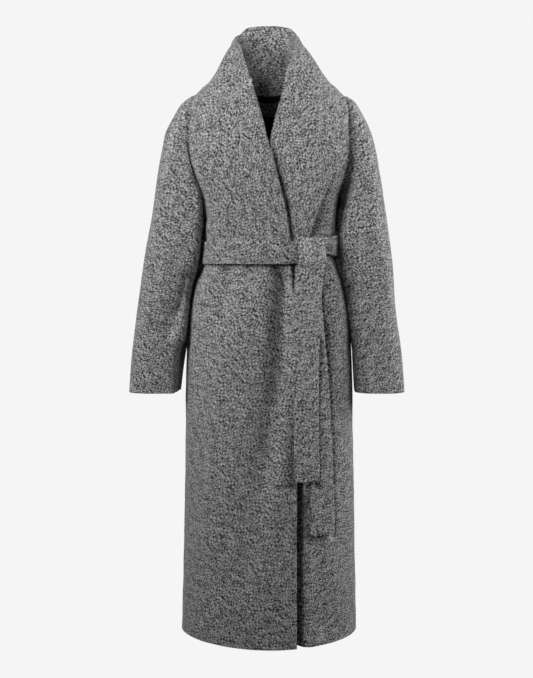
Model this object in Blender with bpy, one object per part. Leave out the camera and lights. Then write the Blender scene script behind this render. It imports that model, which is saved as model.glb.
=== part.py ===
"""A long wrap coat with a wide shawl collar and a tied belt, hollow as it hangs on a wearer.

Metres, +Z up. The front faces -Y and the wearer's right side is at -X. The origin is the
middle of the neck at the height of the shoulders, where the wearer holds the coat up.

Every piece is a sheet: a grid whose points a function lays in place, with a wall built on its
wrong side. Fronts, lapels and belt are laid on one body surface, so that each lies clear of the
one below. The two fronts, lapels and sleeves share their functions: x is worked out for the
right one, whose own side is at -X, and turned round for the left one.
"""

import bmesh
import bpy
import numpy as np

CLOTH = 0.0030  # thickness of the boucle wool
TRIM = 0.0012  # thickness of facing tape and lining
SEAM = 0.0003  # gap between two pieces at a seam

BELT_WIDTH = 0.049
BELT_HEIGHT = -0.3575  # of the belt's middle, in front
BELT_CLOTH = 0.0040  # the belt is sewn from two layers
SHOULDER_TIP = 0.1608  # half width from shoulder to shoulder
SHOULDER_TIP_HEIGHT = -0.0161
NECK_SIDE = 0.0759  # half width of the neckline
SHOULDER_SLOPE = 0.45
NECK_SLOPE = 1.0
SHOULDER_ROLL = 0.070  # height in which the shoulder rounds over from front to back
ARMHOLE_BOTTOM = -0.2371

FRONT_EDGE = 0.0585  # how far each front reaches past the middle, below the belt
LAPEL_LIFT = 0.0052  # right side of a lapel above the right side of its front
ROLL_REACH = 0.0050  # how far a lapel's roll line stands past its front's edge
CREST_REACH = 0.0100  # how far from the collar's crest its roll starts and ends
COLLAR_GAP = 0.0011  # between the edge of the body and the collar's seam
SLEEVE_GAP = 0.0018  # between the armhole's edge and the sleeve

SHARP = np.radians(50)  # edges turned further than this are shaded sharp
RIGHT, LEFT = -1, 1  # the wearer's sides, as the sign of x


def table(names, rows):
    """A table that is read by column name, as one array for each column."""
    return dict(zip(names.split(), np.array(rows, float).T))


def follow(at, knots, values):
    """A smooth curve through the values at the knots, read at the given places."""
    knots = np.asarray(knots, float)
    values = np.asarray(values, float)
    at = np.clip(np.asarray(at, float), knots[0], knots[-1])
    slopes = np.gradient(values, knots, axis=0)
    low = np.clip(np.searchsorted(knots, at, side="right") - 1, 0, len(knots) - 2)
    step = knots[low + 1] - knots[low]
    t = (at - knots[low]) / step
    extra = (1,) * (values.ndim - 1)
    t = t.reshape(np.shape(t) + extra)
    step = step.reshape(np.shape(step) + extra)
    start = values[low] * (1 + 2 * t) * (1 - t) ** 2 + slopes[low] * step * t * (1 - t) ** 2
    end = values[low + 1] * t**2 * (3 - 2 * t) + slopes[low + 1] * step * t**2 * (t - 1)
    return start + end


def ease(value, low, high):
    """0 below low, 1 above high, and a smooth step between them."""
    t = np.clip((value - low) / (high - low), 0, 1)
    return t * t * (3 - 2 * t)


# ---------------------------------------------------------------- the body surface

# Level sections of the coat from hem to neck: front and back are depths from the plane of the
# shoulders, and power is the superellipse's (2 is an ellipse).
BODY = table(
    "height half_width front back power",
    [
        (-1.196, 0.1959, 0.157, 0.149, 1.80),
        (-1.009, 0.1905, 0.149, 0.142, 1.95),
        (-0.8035, 0.1865, 0.140, 0.134, 2.05),
        (-0.600, 0.1822, 0.131, 0.125, 2.10),
        (-0.528, 0.1790, 0.127, 0.119, 2.10),
        (-0.462, 0.1721, 0.121, 0.110, 2.15),
        (-0.418, 0.1618, 0.114, 0.100, 2.20),
        (-0.390, 0.1497, 0.108, 0.092, 2.20),
        (-0.357, 0.1436, 0.106, 0.089, 2.20),
        (-0.3005, 0.1448, 0.108, 0.091, 2.20),
        (-0.2371, 0.1502, 0.112, 0.095, 2.30),
        (-0.2015, 0.1652, 0.114, 0.098, 2.45),
        (-0.1525, 0.1813, 0.113, 0.101, 2.60),
        (-0.1035, 0.1870, 0.108, 0.101, 2.70),
        (-0.055, 0.1857, 0.098, 0.094, 2.60),
        (-0.006, 0.1815, 0.086, 0.074, 2.50),
        (0.052, 0.1772, 0.078, 0.066, 2.50),
    ],
)

# How far from the middle the armhole lies.
ARMHOLE = table(
    "height reach",
    [
        (-0.2371, 0.1502),
        (-0.2213, 0.1540),
        (-0.2015, 0.1600),
        (-0.1672, 0.1675),
        (-0.1133, 0.1702),
        (-0.0644, 0.1670),
        (-0.0161, 0.1608),
    ],
)

# The largest folds: each is a soft trough (negative height) or ridge from start to end.
FOLD_COLUMNS = "start_x start_z end_x end_z start_width end_width height"
FRONT_FOLDS = table(
    FOLD_COLUMNS,
    [
        (0.018, -0.405, 0.018, -0.500, 0.012, 0.018, -0.0045),
        (0.016, -0.520, -0.036, -0.855, 0.018, 0.034, -0.0045),
        (-0.086, -0.405, -0.104, -0.480, 0.012, 0.026, -0.0040),
        (0.128, -0.405, 0.146, -0.520, 0.010, 0.022, 0.0035),
        (0.086, -0.702, 0.112, -1.114, 0.030, 0.050, -0.0035),
    ],
)
BACK_FOLDS = table(
    FOLD_COLUMNS,
    [
        (-0.070, -0.410, -0.090, -0.800, 0.014, 0.040, -0.0050),
        (0.050, -0.410, 0.058, -0.900, 0.014, 0.040, -0.0050),
        (-0.010, -0.410, -0.006, -0.640, 0.010, 0.028, -0.0040),
        (0.060, -0.300, 0.050, -0.180, 0.010, 0.024, -0.0030),
        (-0.064, -0.300, -0.050, -0.170, 0.010, 0.024, -0.0030),
    ],
)


def ridge(x):
    """Height of the shoulder line, which turns up into the neck inside the neckline."""
    reach = np.abs(x)
    outer = SHOULDER_TIP_HEIGHT + SHOULDER_SLOPE * (SHOULDER_TIP - np.maximum(reach, NECK_SIDE))
    return outer + NECK_SLOPE * np.maximum(NECK_SIDE - reach, 0)


def half_width(z):
    return follow(z, BODY["height"], BODY["half_width"])


def armhole(z):
    return follow(z, ARMHOLE["height"], ARMHOLE["reach"])


def depth(x, z, back=False):
    """Depth of the body surface, forwards or backwards from the plane of the shoulders."""
    power = follow(z, BODY["height"], BODY["power"])
    reach = follow(z, BODY["height"], BODY["back" if back else "front"])
    beside = np.clip(np.abs(x) / half_width(z), 0, 1) ** power
    below = np.clip((ridge(x) - z) / SHOULDER_ROLL, 0, 1)
    return reach * (1 - beside) ** (1 / power) * np.sqrt(1 - (1 - below) ** 2)


def lay(x, z, out=0.0, back=False):
    """Points on the body surface, moved out of it along its normal."""
    x, z, out = np.broadcast_arrays(np.asarray(x, float), z, out)
    step = 2e-4
    slope_x = (depth(x + step, z, back) - depth(x - step, z, back)) / (2 * step)
    slope_z = (depth(x, z + step, back) - depth(x, z - step, back)) / (2 * step)
    facing = np.full_like(x, 1.0 if back else -1.0)
    normal = np.stack([-slope_x, facing, -slope_z], axis=-1)
    normal /= np.linalg.norm(normal, axis=-1, keepdims=True)
    points = np.stack([x, facing * depth(x, z, back), z], axis=-1)
    return points + out[..., None] * normal


def folds(x, z, lines):
    """How far the folds of a table move the cloth out at (x, z)."""
    moved = np.zeros(np.broadcast(x, z).shape)
    for start_x, start_z, end_x, end_z, start_width, end_width, height in zip(*lines.values()):
        along_x = end_x - start_x
        along_z = end_z - start_z
        t = ((x - start_x) * along_x + (z - start_z) * along_z) / (along_x**2 + along_z**2)
        inside = np.clip(t, 0, 1)
        away = np.hypot(x - start_x - inside * along_x, z - start_z - inside * along_z)
        width = start_width + inside * (end_width - start_width)
        moved = moved + height * np.exp(-((away / width) ** 2))
    return moved


# ---------------------------------------------------------------- layers of the wrap

# The left front lies this far inside the right one where they overlap.
TUCK = table(
    "height depth",
    [
        (-1.196, 0.0140),
        (-0.800, 0.0120),
        (-0.450, 0.0100),
        (-0.357, 0.0090),
        (-0.090, 0.0090),
        (0.000, 0.0000),
    ],
)
OVERLAP_ENDS = 0.060, 0.150  # the left front comes out to the body surface between these


def layer(side, x, z):
    """How far out of the body surface a front's right side lies; x is the right one's."""
    moved = folds(x * -side, z, FRONT_FOLDS)
    if side == LEFT:
        covered = 1 - ease(-x, *OVERLAP_ENDS)
        moved = moved - follow(z, TUCK["height"], TUCK["depth"]) * covered
    return moved


# ---------------------------------------------------------------- collar and lapels

# The shawl collar from the middle of the back to the chest, as sections across it: its seam
# on the neckline, the crest that it rolls over, the middle of its wing, and its free edge.
# All x are distances from the middle, on the collar half's own side. left_roll is how far out the
# left half's roll stands, as a share of the right one's.
COLLAR = table(
    "neck_x neck_z crest_x crest_y crest_z wing_x wing_y wing_z edge_x edge_y edge_z left_roll",
    [
        (0.0000, -0.0116, 0.0000, 0.079, 0.043, 0.0000, 0.089, 0.096, 0.0000, 0.099, 0.1500, 1.00),
        (0.0237, -0.0087, 0.0227, 0.078, 0.043, 0.0207, 0.089, 0.096, 0.0196, 0.097, 0.1490, 0.99),
        (0.0454, -0.0019, 0.0440, 0.070, 0.045, 0.0420, 0.083, 0.097, 0.0363, 0.092, 0.1462, 0.96),
        (0.0611, 0.0069, 0.0565, 0.047, 0.059, 0.0560, 0.063, 0.1035, 0.0550, 0.082, 0.1400, 0.90),
        (0.0710, 0.0156, 0.0590, 0.014, 0.086, 0.0670, 0.035, 0.1070, 0.0777, 0.058, 0.1145, 0.84),
        (0.0759, 0.0221, 0.0598, -0.018, 0.0835, 0.0800, -0.004, 0.0905, 0.0955, 0.034, 0.0748, 0.82),
        (0.0690, 0.0135, 0.0556, -0.048, 0.060, 0.0915, -0.034, 0.062, 0.1128, 0.018, 0.0418, 0.82),
        (0.0572, 0.0018, 0.0457, -0.076, 0.027, 0.0955, -0.058, 0.030, 0.1321, 0.004, 0.0107, 0.84),
        (0.0424, -0.0089, 0.0365, -0.0915, 0.000, 0.0946, -0.074, 0.004, 0.1460, -0.018, -0.0059, 0.88),
    ],
)
BACK_SECTIONS = 5  # the first sections stand on the back's neckline

# The lapel from the chest to the belt: its roll line, counted past the middle, its free edge,
# counted from the middle on its own side, and the height at which its front meets the armhole.
LAPEL = table(
    "roll_x roll_z edge_x edge_z side_z",
    [
        (-0.0290, -0.0270, 0.1569, -0.0352, -0.0644),
        (-0.0165, -0.0690, 0.1591, -0.0664, -0.0986),
        (-0.0070, -0.1050, 0.1572, -0.0967, -0.1280),
        (0.0036, -0.1476, 0.1456, -0.1378, -0.1623),
        (0.0155, -0.1904, 0.1329, -0.1800, -0.2016),
        (0.0270, -0.2312, 0.1172, -0.2214, -0.2371),
        (0.0375, -0.2710, 0.1024, -0.2648, -0.2757),
        (0.0460, -0.3314, 0.0827, -0.3282, -0.3314),
        (0.0480, -0.3575, 0.0788, -0.3575, -0.3575),
    ],
)
COLLAR_SECTIONS = len(COLLAR["neck_x"])
SHAWL_SECTIONS = COLLAR_SECTIONS + len(LAPEL["roll_x"])

# Places across a section, in twelfths: its seam, the roll's start, crest and end, the middle of
# its wing and its free edge.
ACROSS = 12
SECTION_MARKS = np.array([0, 2, 3, 4, 8, ACROSS]) / ACROSS

LEFT_REACH = 0.0030  # the left lapel's roll line stands this much further past its front's edge

# How much wider than the table each collar half stands, up its height.
FLARE = table(
    "height right left",
    [
        (0.000, 1.000, 1.000),
        (0.030, 0.990, 0.985),
        (0.050, 0.982, 0.958),
        (0.066, 0.971, 0.900),
        (0.080, 0.962, 0.876),
        (0.093, 0.978, 0.857),
        (0.106, 1.003, 0.859),
        (0.120, 1.010, 0.866),
        (0.150, 0.980, 0.890),
    ],
)
STAND_SHARE = 0.4  # the roll never starts lower than this share of the collar's stand
SEAM_TURNS = 6  # how often the seam's wall and its way to the roll are fitted to each other


def unit(vectors):
    return vectors / np.linalg.norm(vectors, axis=-1, keepdims=True)


def seam_points(edge, normal, ahead):
    """A collar's right side along its seam, from the body's edge and the points it rises to.

    Its wrong side meets the outer corner of the body's edge, COLLAR_GAP away from it. The wall
    stands square to the way to ahead, so both are found in turn.
    """
    seam_way = unit(np.gradient(edge, axis=0))
    away = unit(np.cross(normal, seam_way))
    wrong_side = edge + COLLAR_GAP * away
    seam = wrong_side
    for _ in range(SEAM_TURNS):
        seam = wrong_side - CLOTH * unit(np.cross(seam_way, ahead - seam))
    return seam


def sections(side):
    """Six points across each section of a collar half, from the middle of the back to the belt."""
    edges, normals, others = [], [], []
    for index, row in enumerate(zip(*COLLAR.values())):
        neck_x, neck_z, *rest, left_roll = row
        back_part = index < BACK_SECTIONS
        edges.append(lay(-neck_x, neck_z, back=back_part))
        normals.append(lay(-neck_x, neck_z, 1.0, back=back_part) - edges[-1])
        crest, wing, edge = np.array(rest).reshape(3, 3) * [-1, 1, 1]
        stand = edges[-1] - crest
        start = crest + unit(stand) * min(CREST_REACH, STAND_SHARE * np.linalg.norm(stand))
        end = crest + CREST_REACH * unit(wing - crest)
        section = np.array([start, crest, end, wing, edge])
        wider = follow(section[:, 2], FLARE["height"], FLARE["left" if side == LEFT else "right"])
        roll = left_roll if side == LEFT else 1.0
        section[:, 0] *= np.where([True, True, True, False, False], roll, wider)
        others.append(section)
    radius = 0.5 * (LAPEL_LIFT + CLOTH)
    for roll_x, roll_z, edge_x, edge_z, _ in zip(*LAPEL.values()):
        body_x = roll_x - ROLL_REACH - COLLAR_GAP
        out = layer(side, body_x, roll_z)
        edges.append(lay(body_x, roll_z, out))
        normals.append(lay(body_x, roll_z, out + 1.0) - edges[-1])
        turn = np.radians([-45, 0, 45])
        reach = roll_x + (LEFT_REACH if side == LEFT else 0.0)
        x = np.append(reach - radius + radius * np.cos(turn), [0.5 * (roll_x - edge_x), -edge_x])
        z = np.array([roll_z, roll_z, roll_z, 0.5 * (roll_z + edge_z), edge_z])
        out = np.append(LAPEL_LIFT - radius + radius * np.sin(turn), [LAPEL_LIFT, LAPEL_LIFT])
        others.append(lay(x, z, layer(side, x, z) + out))
    edges, normals, others = np.array(edges), unit(np.array(normals)), np.array(others)
    seam = seam_points(edges, normals, others[:, 0])
    seam[0, 0] = 0
    return np.concatenate([seam[:, None], others], axis=1)


def shawl(side, along, across):
    """The right side of one half of the shawl collar.

    along runs from the middle of the back (0) to the belt (1), across from seam to free edge.
    """
    net = sections(side)
    mirrored = net[1:2] * [-1, 1, 1]
    place = along * (SHAWL_SECTIONS - 1)
    section = follow(place, np.arange(-1, SHAWL_SECTIONS), np.concatenate([mirrored, net]))
    spans = np.linalg.norm(np.diff(section, axis=-2), axis=-1)
    knots = np.concatenate([np.zeros(along.shape + (1,)), np.cumsum(spans, axis=-1)], axis=-1)
    points = np.empty(along.shape + (3,))
    for index in np.ndindex(along.shape):
        length = np.interp(across[index], SECTION_MARKS, knots[index])
        points[index] = follow(length, knots[index], section[index])
    x, z = points[..., 0], points[..., 2]
    laid = lay(x, z, layer(side, x, z) + LAPEL_LIFT)
    lying = ease(place, COLLAR_SECTIONS - 1, COLLAR_SECTIONS + 1)
    lying = lying * ease(across, SECTION_MARKS[3], SECTION_MARKS[3] + 1 / ACROSS)
    points += lying[..., None] * (laid - points)
    points[..., 0] -= SEAM / 2
    points[..., 0] *= -side
    return points


# ---------------------------------------------------------------- fronts and back

# Rings below the belt, from a side seam to the edge or the middle, each at its row of the grid.
SKIRT = table(
    "row height",
    [
        (0, -1.196),
        (4, -0.978),
        (8, -0.752),
        (12, -0.550),
        (14, -0.470),
        (15, -0.432),
        (16, -0.403),
        (17, -0.382),
    ],
)
NECK_RINGS = COLLAR_SECTIONS - BACK_SECTIONS
ROWS_EACH = 2  # rows of the grid between two rings of the neck's side
FRONT_ROWS = int(SKIRT["row"][-1]) + len(LAPEL["roll_x"]) + ROWS_EACH * NECK_RINGS


def front_rings():
    """Row, side height, edge place and edge height of each ring of a front, from hem to neck.

    The last ring lies past the shoulder seam and only gives the curves their way there.
    """
    rings = [(row, height, FRONT_EDGE, height) for row, height in zip(*SKIRT.values())]
    for roll_x, roll_z, _, _, side_z in reversed(list(zip(*LAPEL.values()))):
        rings.append((rings[-1][0] + 1, side_z, roll_x - ROLL_REACH - COLLAR_GAP, roll_z))
    chest_z = rings[-1][1]
    for ring in range(1, NECK_RINGS + 2):
        section = COLLAR_SECTIONS - ring
        side_z = chest_z + (SHOULDER_TIP_HEIGHT - chest_z) * ring / NECK_RINGS
        neck_x, neck_z = COLLAR["neck_x"][section], COLLAR["neck_z"][section]
        rings.append((rings[-1][0] + ROWS_EACH, side_z, -neck_x, neck_z))
    return np.array(rings).T


def front(side, across, up):
    """The right side of a front: across from the side seam to its edge, up from hem to shoulder."""
    row, side_z, edge_x, edge_z = front_rings()
    rings = np.arange(len(row))
    place = np.interp(up * FRONT_ROWS, row, rings)
    start_z = np.minimum(follow(place, rings, side_z), SHOULDER_TIP_HEIGHT)
    stop_z = follow(place, rings, edge_z)
    stop_x = follow(place, rings, edge_x)
    start_x = -np.where(start_z > ARMHOLE_BOTTOM, armhole(start_z), half_width(start_z))
    start_turn = np.arcsin(np.clip(start_x / half_width(start_z), -1, 1))
    stop_turn = np.arcsin(stop_x / half_width(stop_z))
    turn = np.sin(start_turn + (stop_turn - start_turn) * across)
    share = (turn - np.sin(start_turn)) / (np.sin(stop_turn) - np.sin(start_turn))
    x = start_x + (stop_x - start_x) * share
    z = start_z + (stop_z - start_z) * share
    z = np.minimum(z, ridge(x))
    points = lay(x, z, layer(side, x, z))
    points[..., 1] -= SEAM / 2
    points[..., 0] *= -side
    return points


BACK_CORNER = 0.5  # where the neck's corner lies, from the middle (0) to the side (1)
# The back's rings above the skirt's, and how far each takes the shape of the back's top edge.
BACK_UPPER = table(
    "row height neck_share",
    [
        (18, -0.3575, 0.00),
        (19, -0.3314, 0.00),
        (20, -0.2850, 0.00),
        (21, -0.2371, 0.05),
        (23, -0.1770, 0.25),
        (26, -0.0940, 0.60),
        (28, -0.0450, 0.88),
        (29, SHOULDER_TIP_HEIGHT, 1.00),
    ],
)
BACK_ROWS = int(BACK_UPPER["row"][-1])


def back_top(x):
    """Height of the back's upper edge: the shoulder seams and the neckline between them."""
    neck = slice(0, BACK_SECTIONS + 1)
    inside = np.abs(x) < NECK_SIDE
    curve = follow(np.abs(x), COLLAR["neck_x"][neck], COLLAR["neck_z"][neck])
    return np.where(inside, curve, ridge(x))


def back(across, up):
    """The right side of the back: across from side to side, up from hem to shoulders."""
    rows = np.append(SKIRT["row"], BACK_UPPER["row"])
    heights = np.append(SKIRT["height"], BACK_UPPER["height"])
    side_z = follow(up * BACK_ROWS, rows, heights)
    share = follow(up * BACK_ROWS, BACK_UPPER["row"], BACK_UPPER["neck_share"])
    reach = np.where(side_z > ARMHOLE_BOTTOM, armhole(side_z), half_width(side_z))
    away = np.abs(2 * across - 1)
    turn = np.arcsin(np.clip(reach / half_width(side_z), -1, 1))
    round_share = np.sin(turn * away) / np.sin(turn)
    neck = NECK_SIDE / SHOULDER_TIP
    top_share = np.interp(away, [0, BACK_CORNER, 1], [0, neck, 1])
    x = np.sign(across - 0.5) * reach * (round_share + share * (top_share - round_share))
    z = side_z + share * (back_top(x) - SHOULDER_TIP_HEIGHT)
    points = lay(x, z, folds(x, z, BACK_FOLDS), back=True)
    points[..., 1] += SEAM / 2
    return points


# ---------------------------------------------------------------- sleeves

# Rings down the arm: the outer and the inner point of each, seen from the front, its half
# depth, how far its middle lies in front of the shoulders, and how far the side that faces the
# wearer's back leans in behind the body.
SLEEVE = table(
    "outer_x outer_z inner_x inner_z half_depth forward tuck",
    [
        (0.1608, -0.0161, 0.1502, -0.2371, 0.060, 0.000, 0.000),
        (0.1787, -0.0273, 0.1508, -0.2411, 0.062, 0.001, 0.000),
        (0.1941, -0.0448, 0.1518, -0.2470, 0.064, 0.002, 0.005),
        (0.2095, -0.0702, 0.1535, -0.2549, 0.066, 0.004, 0.011),
        (0.2246, -0.1044, 0.1545, -0.2668, 0.067, 0.006, 0.018),
        (0.2358, -0.1564, 0.1540, -0.2885, 0.067, 0.008, 0.026),
        (0.2473, -0.2253, 0.1545, -0.3252, 0.066, 0.010, 0.031),
        (0.2588, -0.2955, 0.1590, -0.3650, 0.064, 0.011, 0.030),
        (0.2703, -0.3650, 0.1660, -0.4048, 0.061, 0.012, 0.026),
        (0.2819, -0.4357, 0.1765, -0.4557, 0.058, 0.013, 0.022),
        (0.2915, -0.5058, 0.1825, -0.5159, 0.055, 0.015, 0.016),
        (0.3012, -0.5762, 0.1885, -0.5782, 0.051, 0.018, 0.006),
        (0.3065, -0.6605, 0.1950, -0.6605, 0.047, 0.022, 0.000),
    ],
)
SLEEVE_RINGS = len(SLEEVE["outer_x"])
CAP_RINGS = 6  # the armhole's shape fades out of the sleeve over this many rings
# How much further out the left sleeve's outer and inner side hang than the right one's.
LEAN = table(
    "down outer inner",
    [
        (0.00, 0.0000, 0.0000),
        (0.12, -0.0010, 0.0020),
        (0.25, -0.0027, 0.0060),
        (0.40, -0.0020, 0.0090),
        (0.50, -0.0005, 0.0085),
        (0.60, -0.0020, 0.0055),
        (0.68, -0.0046, 0.0020),
        (0.78, -0.0106, -0.0020),
        (0.90, -0.0120, -0.0050),
        (1.00, -0.0100, -0.0075),
    ],
)
SLEEVE_CLEAR = 0.0032  # between a sleeve and the side that it hangs against
BELT_CLEAR = 0.0075  # more than that beside the belt
BELT_REACH = 0.034, 0.056  # this far above and below the belt's middle it starts and ends


def beside_body(x, y, z):
    """Moves points that lie inside the body surface, or too near it, out of it to its side."""
    near_belt = 1 - ease(np.abs(z - BELT_HEIGHT), *BELT_REACH)
    clear = SLEEVE_CLEAR + BELT_CLEAR * near_belt
    power = follow(z, BODY["height"], BODY["power"])
    before = follow(z, BODY["height"], BODY["front"])
    behind = follow(z, BODY["height"], BODY["back"])
    reach = np.where(y < 0, before, behind) + clear
    size = (np.abs(x / (half_width(z) + clear)) ** power + np.abs(y / reach) ** power) ** (1 / power)
    grow = np.maximum(1, 1 / size)
    return x * grow, y * grow


def sleeve(side, around, down):
    """The right side of a sleeve: around from the top of the arm over its front, down to the cuff."""
    place = down * (SLEEVE_RINGS - 1)
    column = {name: follow(place, np.arange(SLEEVE_RINGS), SLEEVE[name]) for name in SLEEVE}
    first = {name: SLEEVE[name][0] for name in SLEEVE}
    turn = 2 * np.pi * around
    over, forward = np.cos(turn), np.sin(turn)
    if side == LEFT:
        column["outer_x"] = column["outer_x"] + follow(down, LEAN["down"], LEAN["outer"])
        column["inner_x"] = column["inner_x"] + follow(down, LEAN["down"], LEAN["inner"])
    inward = (0.5 - (over + forward) / np.sqrt(8)) ** 2

    def ring(of):
        x = 0.5 * (of["outer_x"] + of["inner_x"]) + 0.5 * (of["outer_x"] - of["inner_x"]) * over
        z = 0.5 * (of["outer_z"] + of["inner_z"]) + 0.5 * (of["outer_z"] - of["inner_z"]) * over
        y = -of["forward"] - of["half_depth"] * forward
        return x - of["tuck"] * inward, y, z

    hole_z = ring(first)[2]
    hole_x = armhole(hole_z)
    before = -depth(hole_x, hole_z)
    behind = depth(hole_x, hole_z, back=True)
    hole = np.stack([hole_x + SLEEVE_GAP, np.where(forward > 0, before, behind), hole_z], axis=-1)
    cap = 0.5 + 0.5 * np.cos(np.pi * np.clip(place / CAP_RINGS, 0, 1))
    points = np.stack(ring(column), axis=-1)
    points += cap[..., None] * (hole - np.stack(ring(first), axis=-1))
    below = ease(ARMHOLE_BOTTOM - points[..., 2], 0.0, 0.012)
    x, y = beside_body(*np.moveaxis(points, -1, 0))
    points[..., 0] += below * (x - points[..., 0])
    points[..., 1] += below * (y - points[..., 1])
    points[..., 0] *= side
    return points


# ---------------------------------------------------------------- neck facing, tape and lining

FACING_HEIGHT = 0.040
FACING_HALF_WIDTH = 0.050
FACING_ROWS = 4  # the tape covers the uppermost one
TAPE_RISE = 0.0025  # and rises this far above the neckline, over the collar's seam
LINING_HALF_WIDTH = 0.064
LINING_BOTTOM = -0.212
TRIM_GAP = 0.0015  # between the back's wrong side and the trim


def inside_back(x, z, layers):
    """Points inside the back's wall, which face the wearer, as the trim's given layer."""
    out = folds(x, z, BACK_FOLDS) - CLOTH - TRIM_GAP - TRIM - (layers - 1) * (SEAM + TRIM)
    return lay(x, z, out, back=True)


def neck_facing(across, up):
    x = (2 * across - 1) * FACING_HALF_WIDTH
    return inside_back(x, back_top(x) - FACING_HEIGHT * (1 - up), 1)


def neck_tape(across, up):
    x = (2 * across - 1) * FACING_HALF_WIDTH
    height = TAPE_RISE + FACING_HEIGHT / FACING_ROWS
    return inside_back(x, back_top(x) + TAPE_RISE - height * (1 - up), 2)


def lining(across, up):
    x = (2 * across - 1) * LINING_HALF_WIDTH
    neck = np.minimum(np.abs(x), FACING_HALF_WIDTH)
    top = back_top(neck) - FACING_HEIGHT - 2 * SEAM
    return inside_back(x, LINING_BOTTOM + (top - LINING_BOTTOM) * up, 1)


# ---------------------------------------------------------------- belt

# The stretch round the waist, from the right of the knot over the back to its left: the turn
# from the middle of the front, towards the wearer's left, the height of the belt's middle, its
# inner face above the body surface, and its width.
BELT = table(
    "turn height lift width",
    [
        (0.70, -0.3560, 0.0062, 0.043),
        (0.92, -0.3555, 0.0064, 0.043),
        (1.02, -0.3475, 0.0080, 0.043),
        (1.25, -0.3445, 0.0060, 0.044),
        (1.57, -0.3470, 0.0030, 0.046),
        (2.20, -0.3520, 0.0016, 0.049),
        (3.14, -0.3575, 0.0016, 0.049),
        (4.20, -0.3590, 0.0016, 0.049),
        (5.15, -0.3580, 0.0018, 0.049),
        (5.58, -0.3575, 0.0059, 0.049),
        (6.00, -0.3575, 0.0059, 0.049),
        (6.63, -0.3575, 0.0060, 0.047),
        (6.76, -0.3575, 0.0060, 0.044),
    ],
)


def belt_round(along, across):
    turn = BELT["turn"][0] + along * np.ptp(BELT["turn"])
    height = follow(turn, BELT["turn"], BELT["height"])
    width = follow(turn, BELT["turn"], BELT["width"])
    out = np.interp(turn, BELT["turn"], BELT["lift"]) + BELT_CLOTH
    z = height + (across - 0.5) * width
    x = half_width(z) * np.sin(turn)
    before = lay(x, z, out)
    behind = lay(x, z, out, back=True)
    return np.where((np.cos(turn) < 0)[..., None], behind, before)


FOLD_TOP = -0.3255  # top of the fold in which the front end comes over the belt
FOLD_INNER = 0.0008  # right side of the end behind the belt, above the body surface
FOLD_OUTER = 0.0152  # and in front of it
FOLD_REST = -0.341  # where the end starts behind the belt
END_FRONT = table(
    "height middle lift",
    [
        (-0.385, 0.0800, 0.0150),
        (-0.430, 0.0785, 0.0112),
        (-0.500, 0.0754, 0.0095),
        (-0.621, 0.0727, 0.0095),
        (-0.8386, 0.0743, 0.0095),
    ],
)
END_BACK = table(
    "height middle lift",
    [
        (-0.352, 0.0780, 0.0045),
        (-0.450, 0.0815, 0.0045),
        (-0.550, 0.0901, 0.0045),
        (-0.651, 0.0985, 0.0045),
        (-0.753, 0.1043, 0.0045),
        (-0.855, 0.1082, 0.0045),
        (-0.956, 0.1101, 0.0045),
    ],
)
FOLD_STEPS = 6


def end_path(rows):
    """Points down a hanging belt end: its middle, its height and its right side's lift."""
    return np.stack([rows["middle"], rows["height"], rows["lift"]], axis=-1)


def fold_path():
    """The front end's way over the belt's top edge, as a half circle with two short legs."""
    radius = (FOLD_OUTER - FOLD_INNER) / 2
    centre_z = FOLD_TOP - radius
    turn = np.linspace(0, np.pi, FOLD_STEPS + 1)
    middle = END_FRONT["middle"][0] + 0.002
    lift = (FOLD_OUTER + FOLD_INNER) / 2 - radius * np.cos(turn)
    arc = np.stack([np.full_like(turn, middle), centre_z + radius * np.sin(turn), lift], axis=-1)
    leg = [[middle, FOLD_REST, FOLD_INNER]]
    return np.concatenate([leg, arc])


def hang(path, across, along):
    """A belt end on its path: across its width, along from its start to its free end."""
    steps = np.linalg.norm(np.diff(path, axis=0), axis=-1)
    knots = np.append(0, np.cumsum(steps))
    middle, z, lift = np.moveaxis(follow(along * knots[-1], knots, path), -1, 0)
    x = middle + (across - 0.5) * BELT_WIDTH
    return lay(x, z, lift + folds(x, z, FRONT_FOLDS))


# ---------------------------------------------------------------- materials and objects


def material(name, colour, roughness, sheen):
    made = bpy.data.materials.new(name)
    made.use_nodes = True
    shader = made.node_tree.nodes["Principled BSDF"]
    shader.inputs["Base Color"].default_value = (*colour, 1)
    shader.inputs["Roughness"].default_value = roughness
    shader.inputs["Sheen Weight"].default_value = sheen
    made.diffuse_color = (*colour, 1)
    return made


NORMAL_STEP = 1e-5  # share of a piece over which its normals are measured


def normals(place, across, along, closed):
    """The unit normals of a laid surface, from the way it runs across and along."""
    left, right = across - NORMAL_STEP, across + NORMAL_STEP
    if not closed:
        left, right = np.maximum(left, 0), np.minimum(right, 1)
    below, above = np.maximum(along - NORMAL_STEP, 0), np.minimum(along + NORMAL_STEP, 1)
    run = place(right, along) - place(left, along)
    rise = place(across, above) - place(across, below)
    return unit(np.cross(unit(run), unit(rise)))


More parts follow.
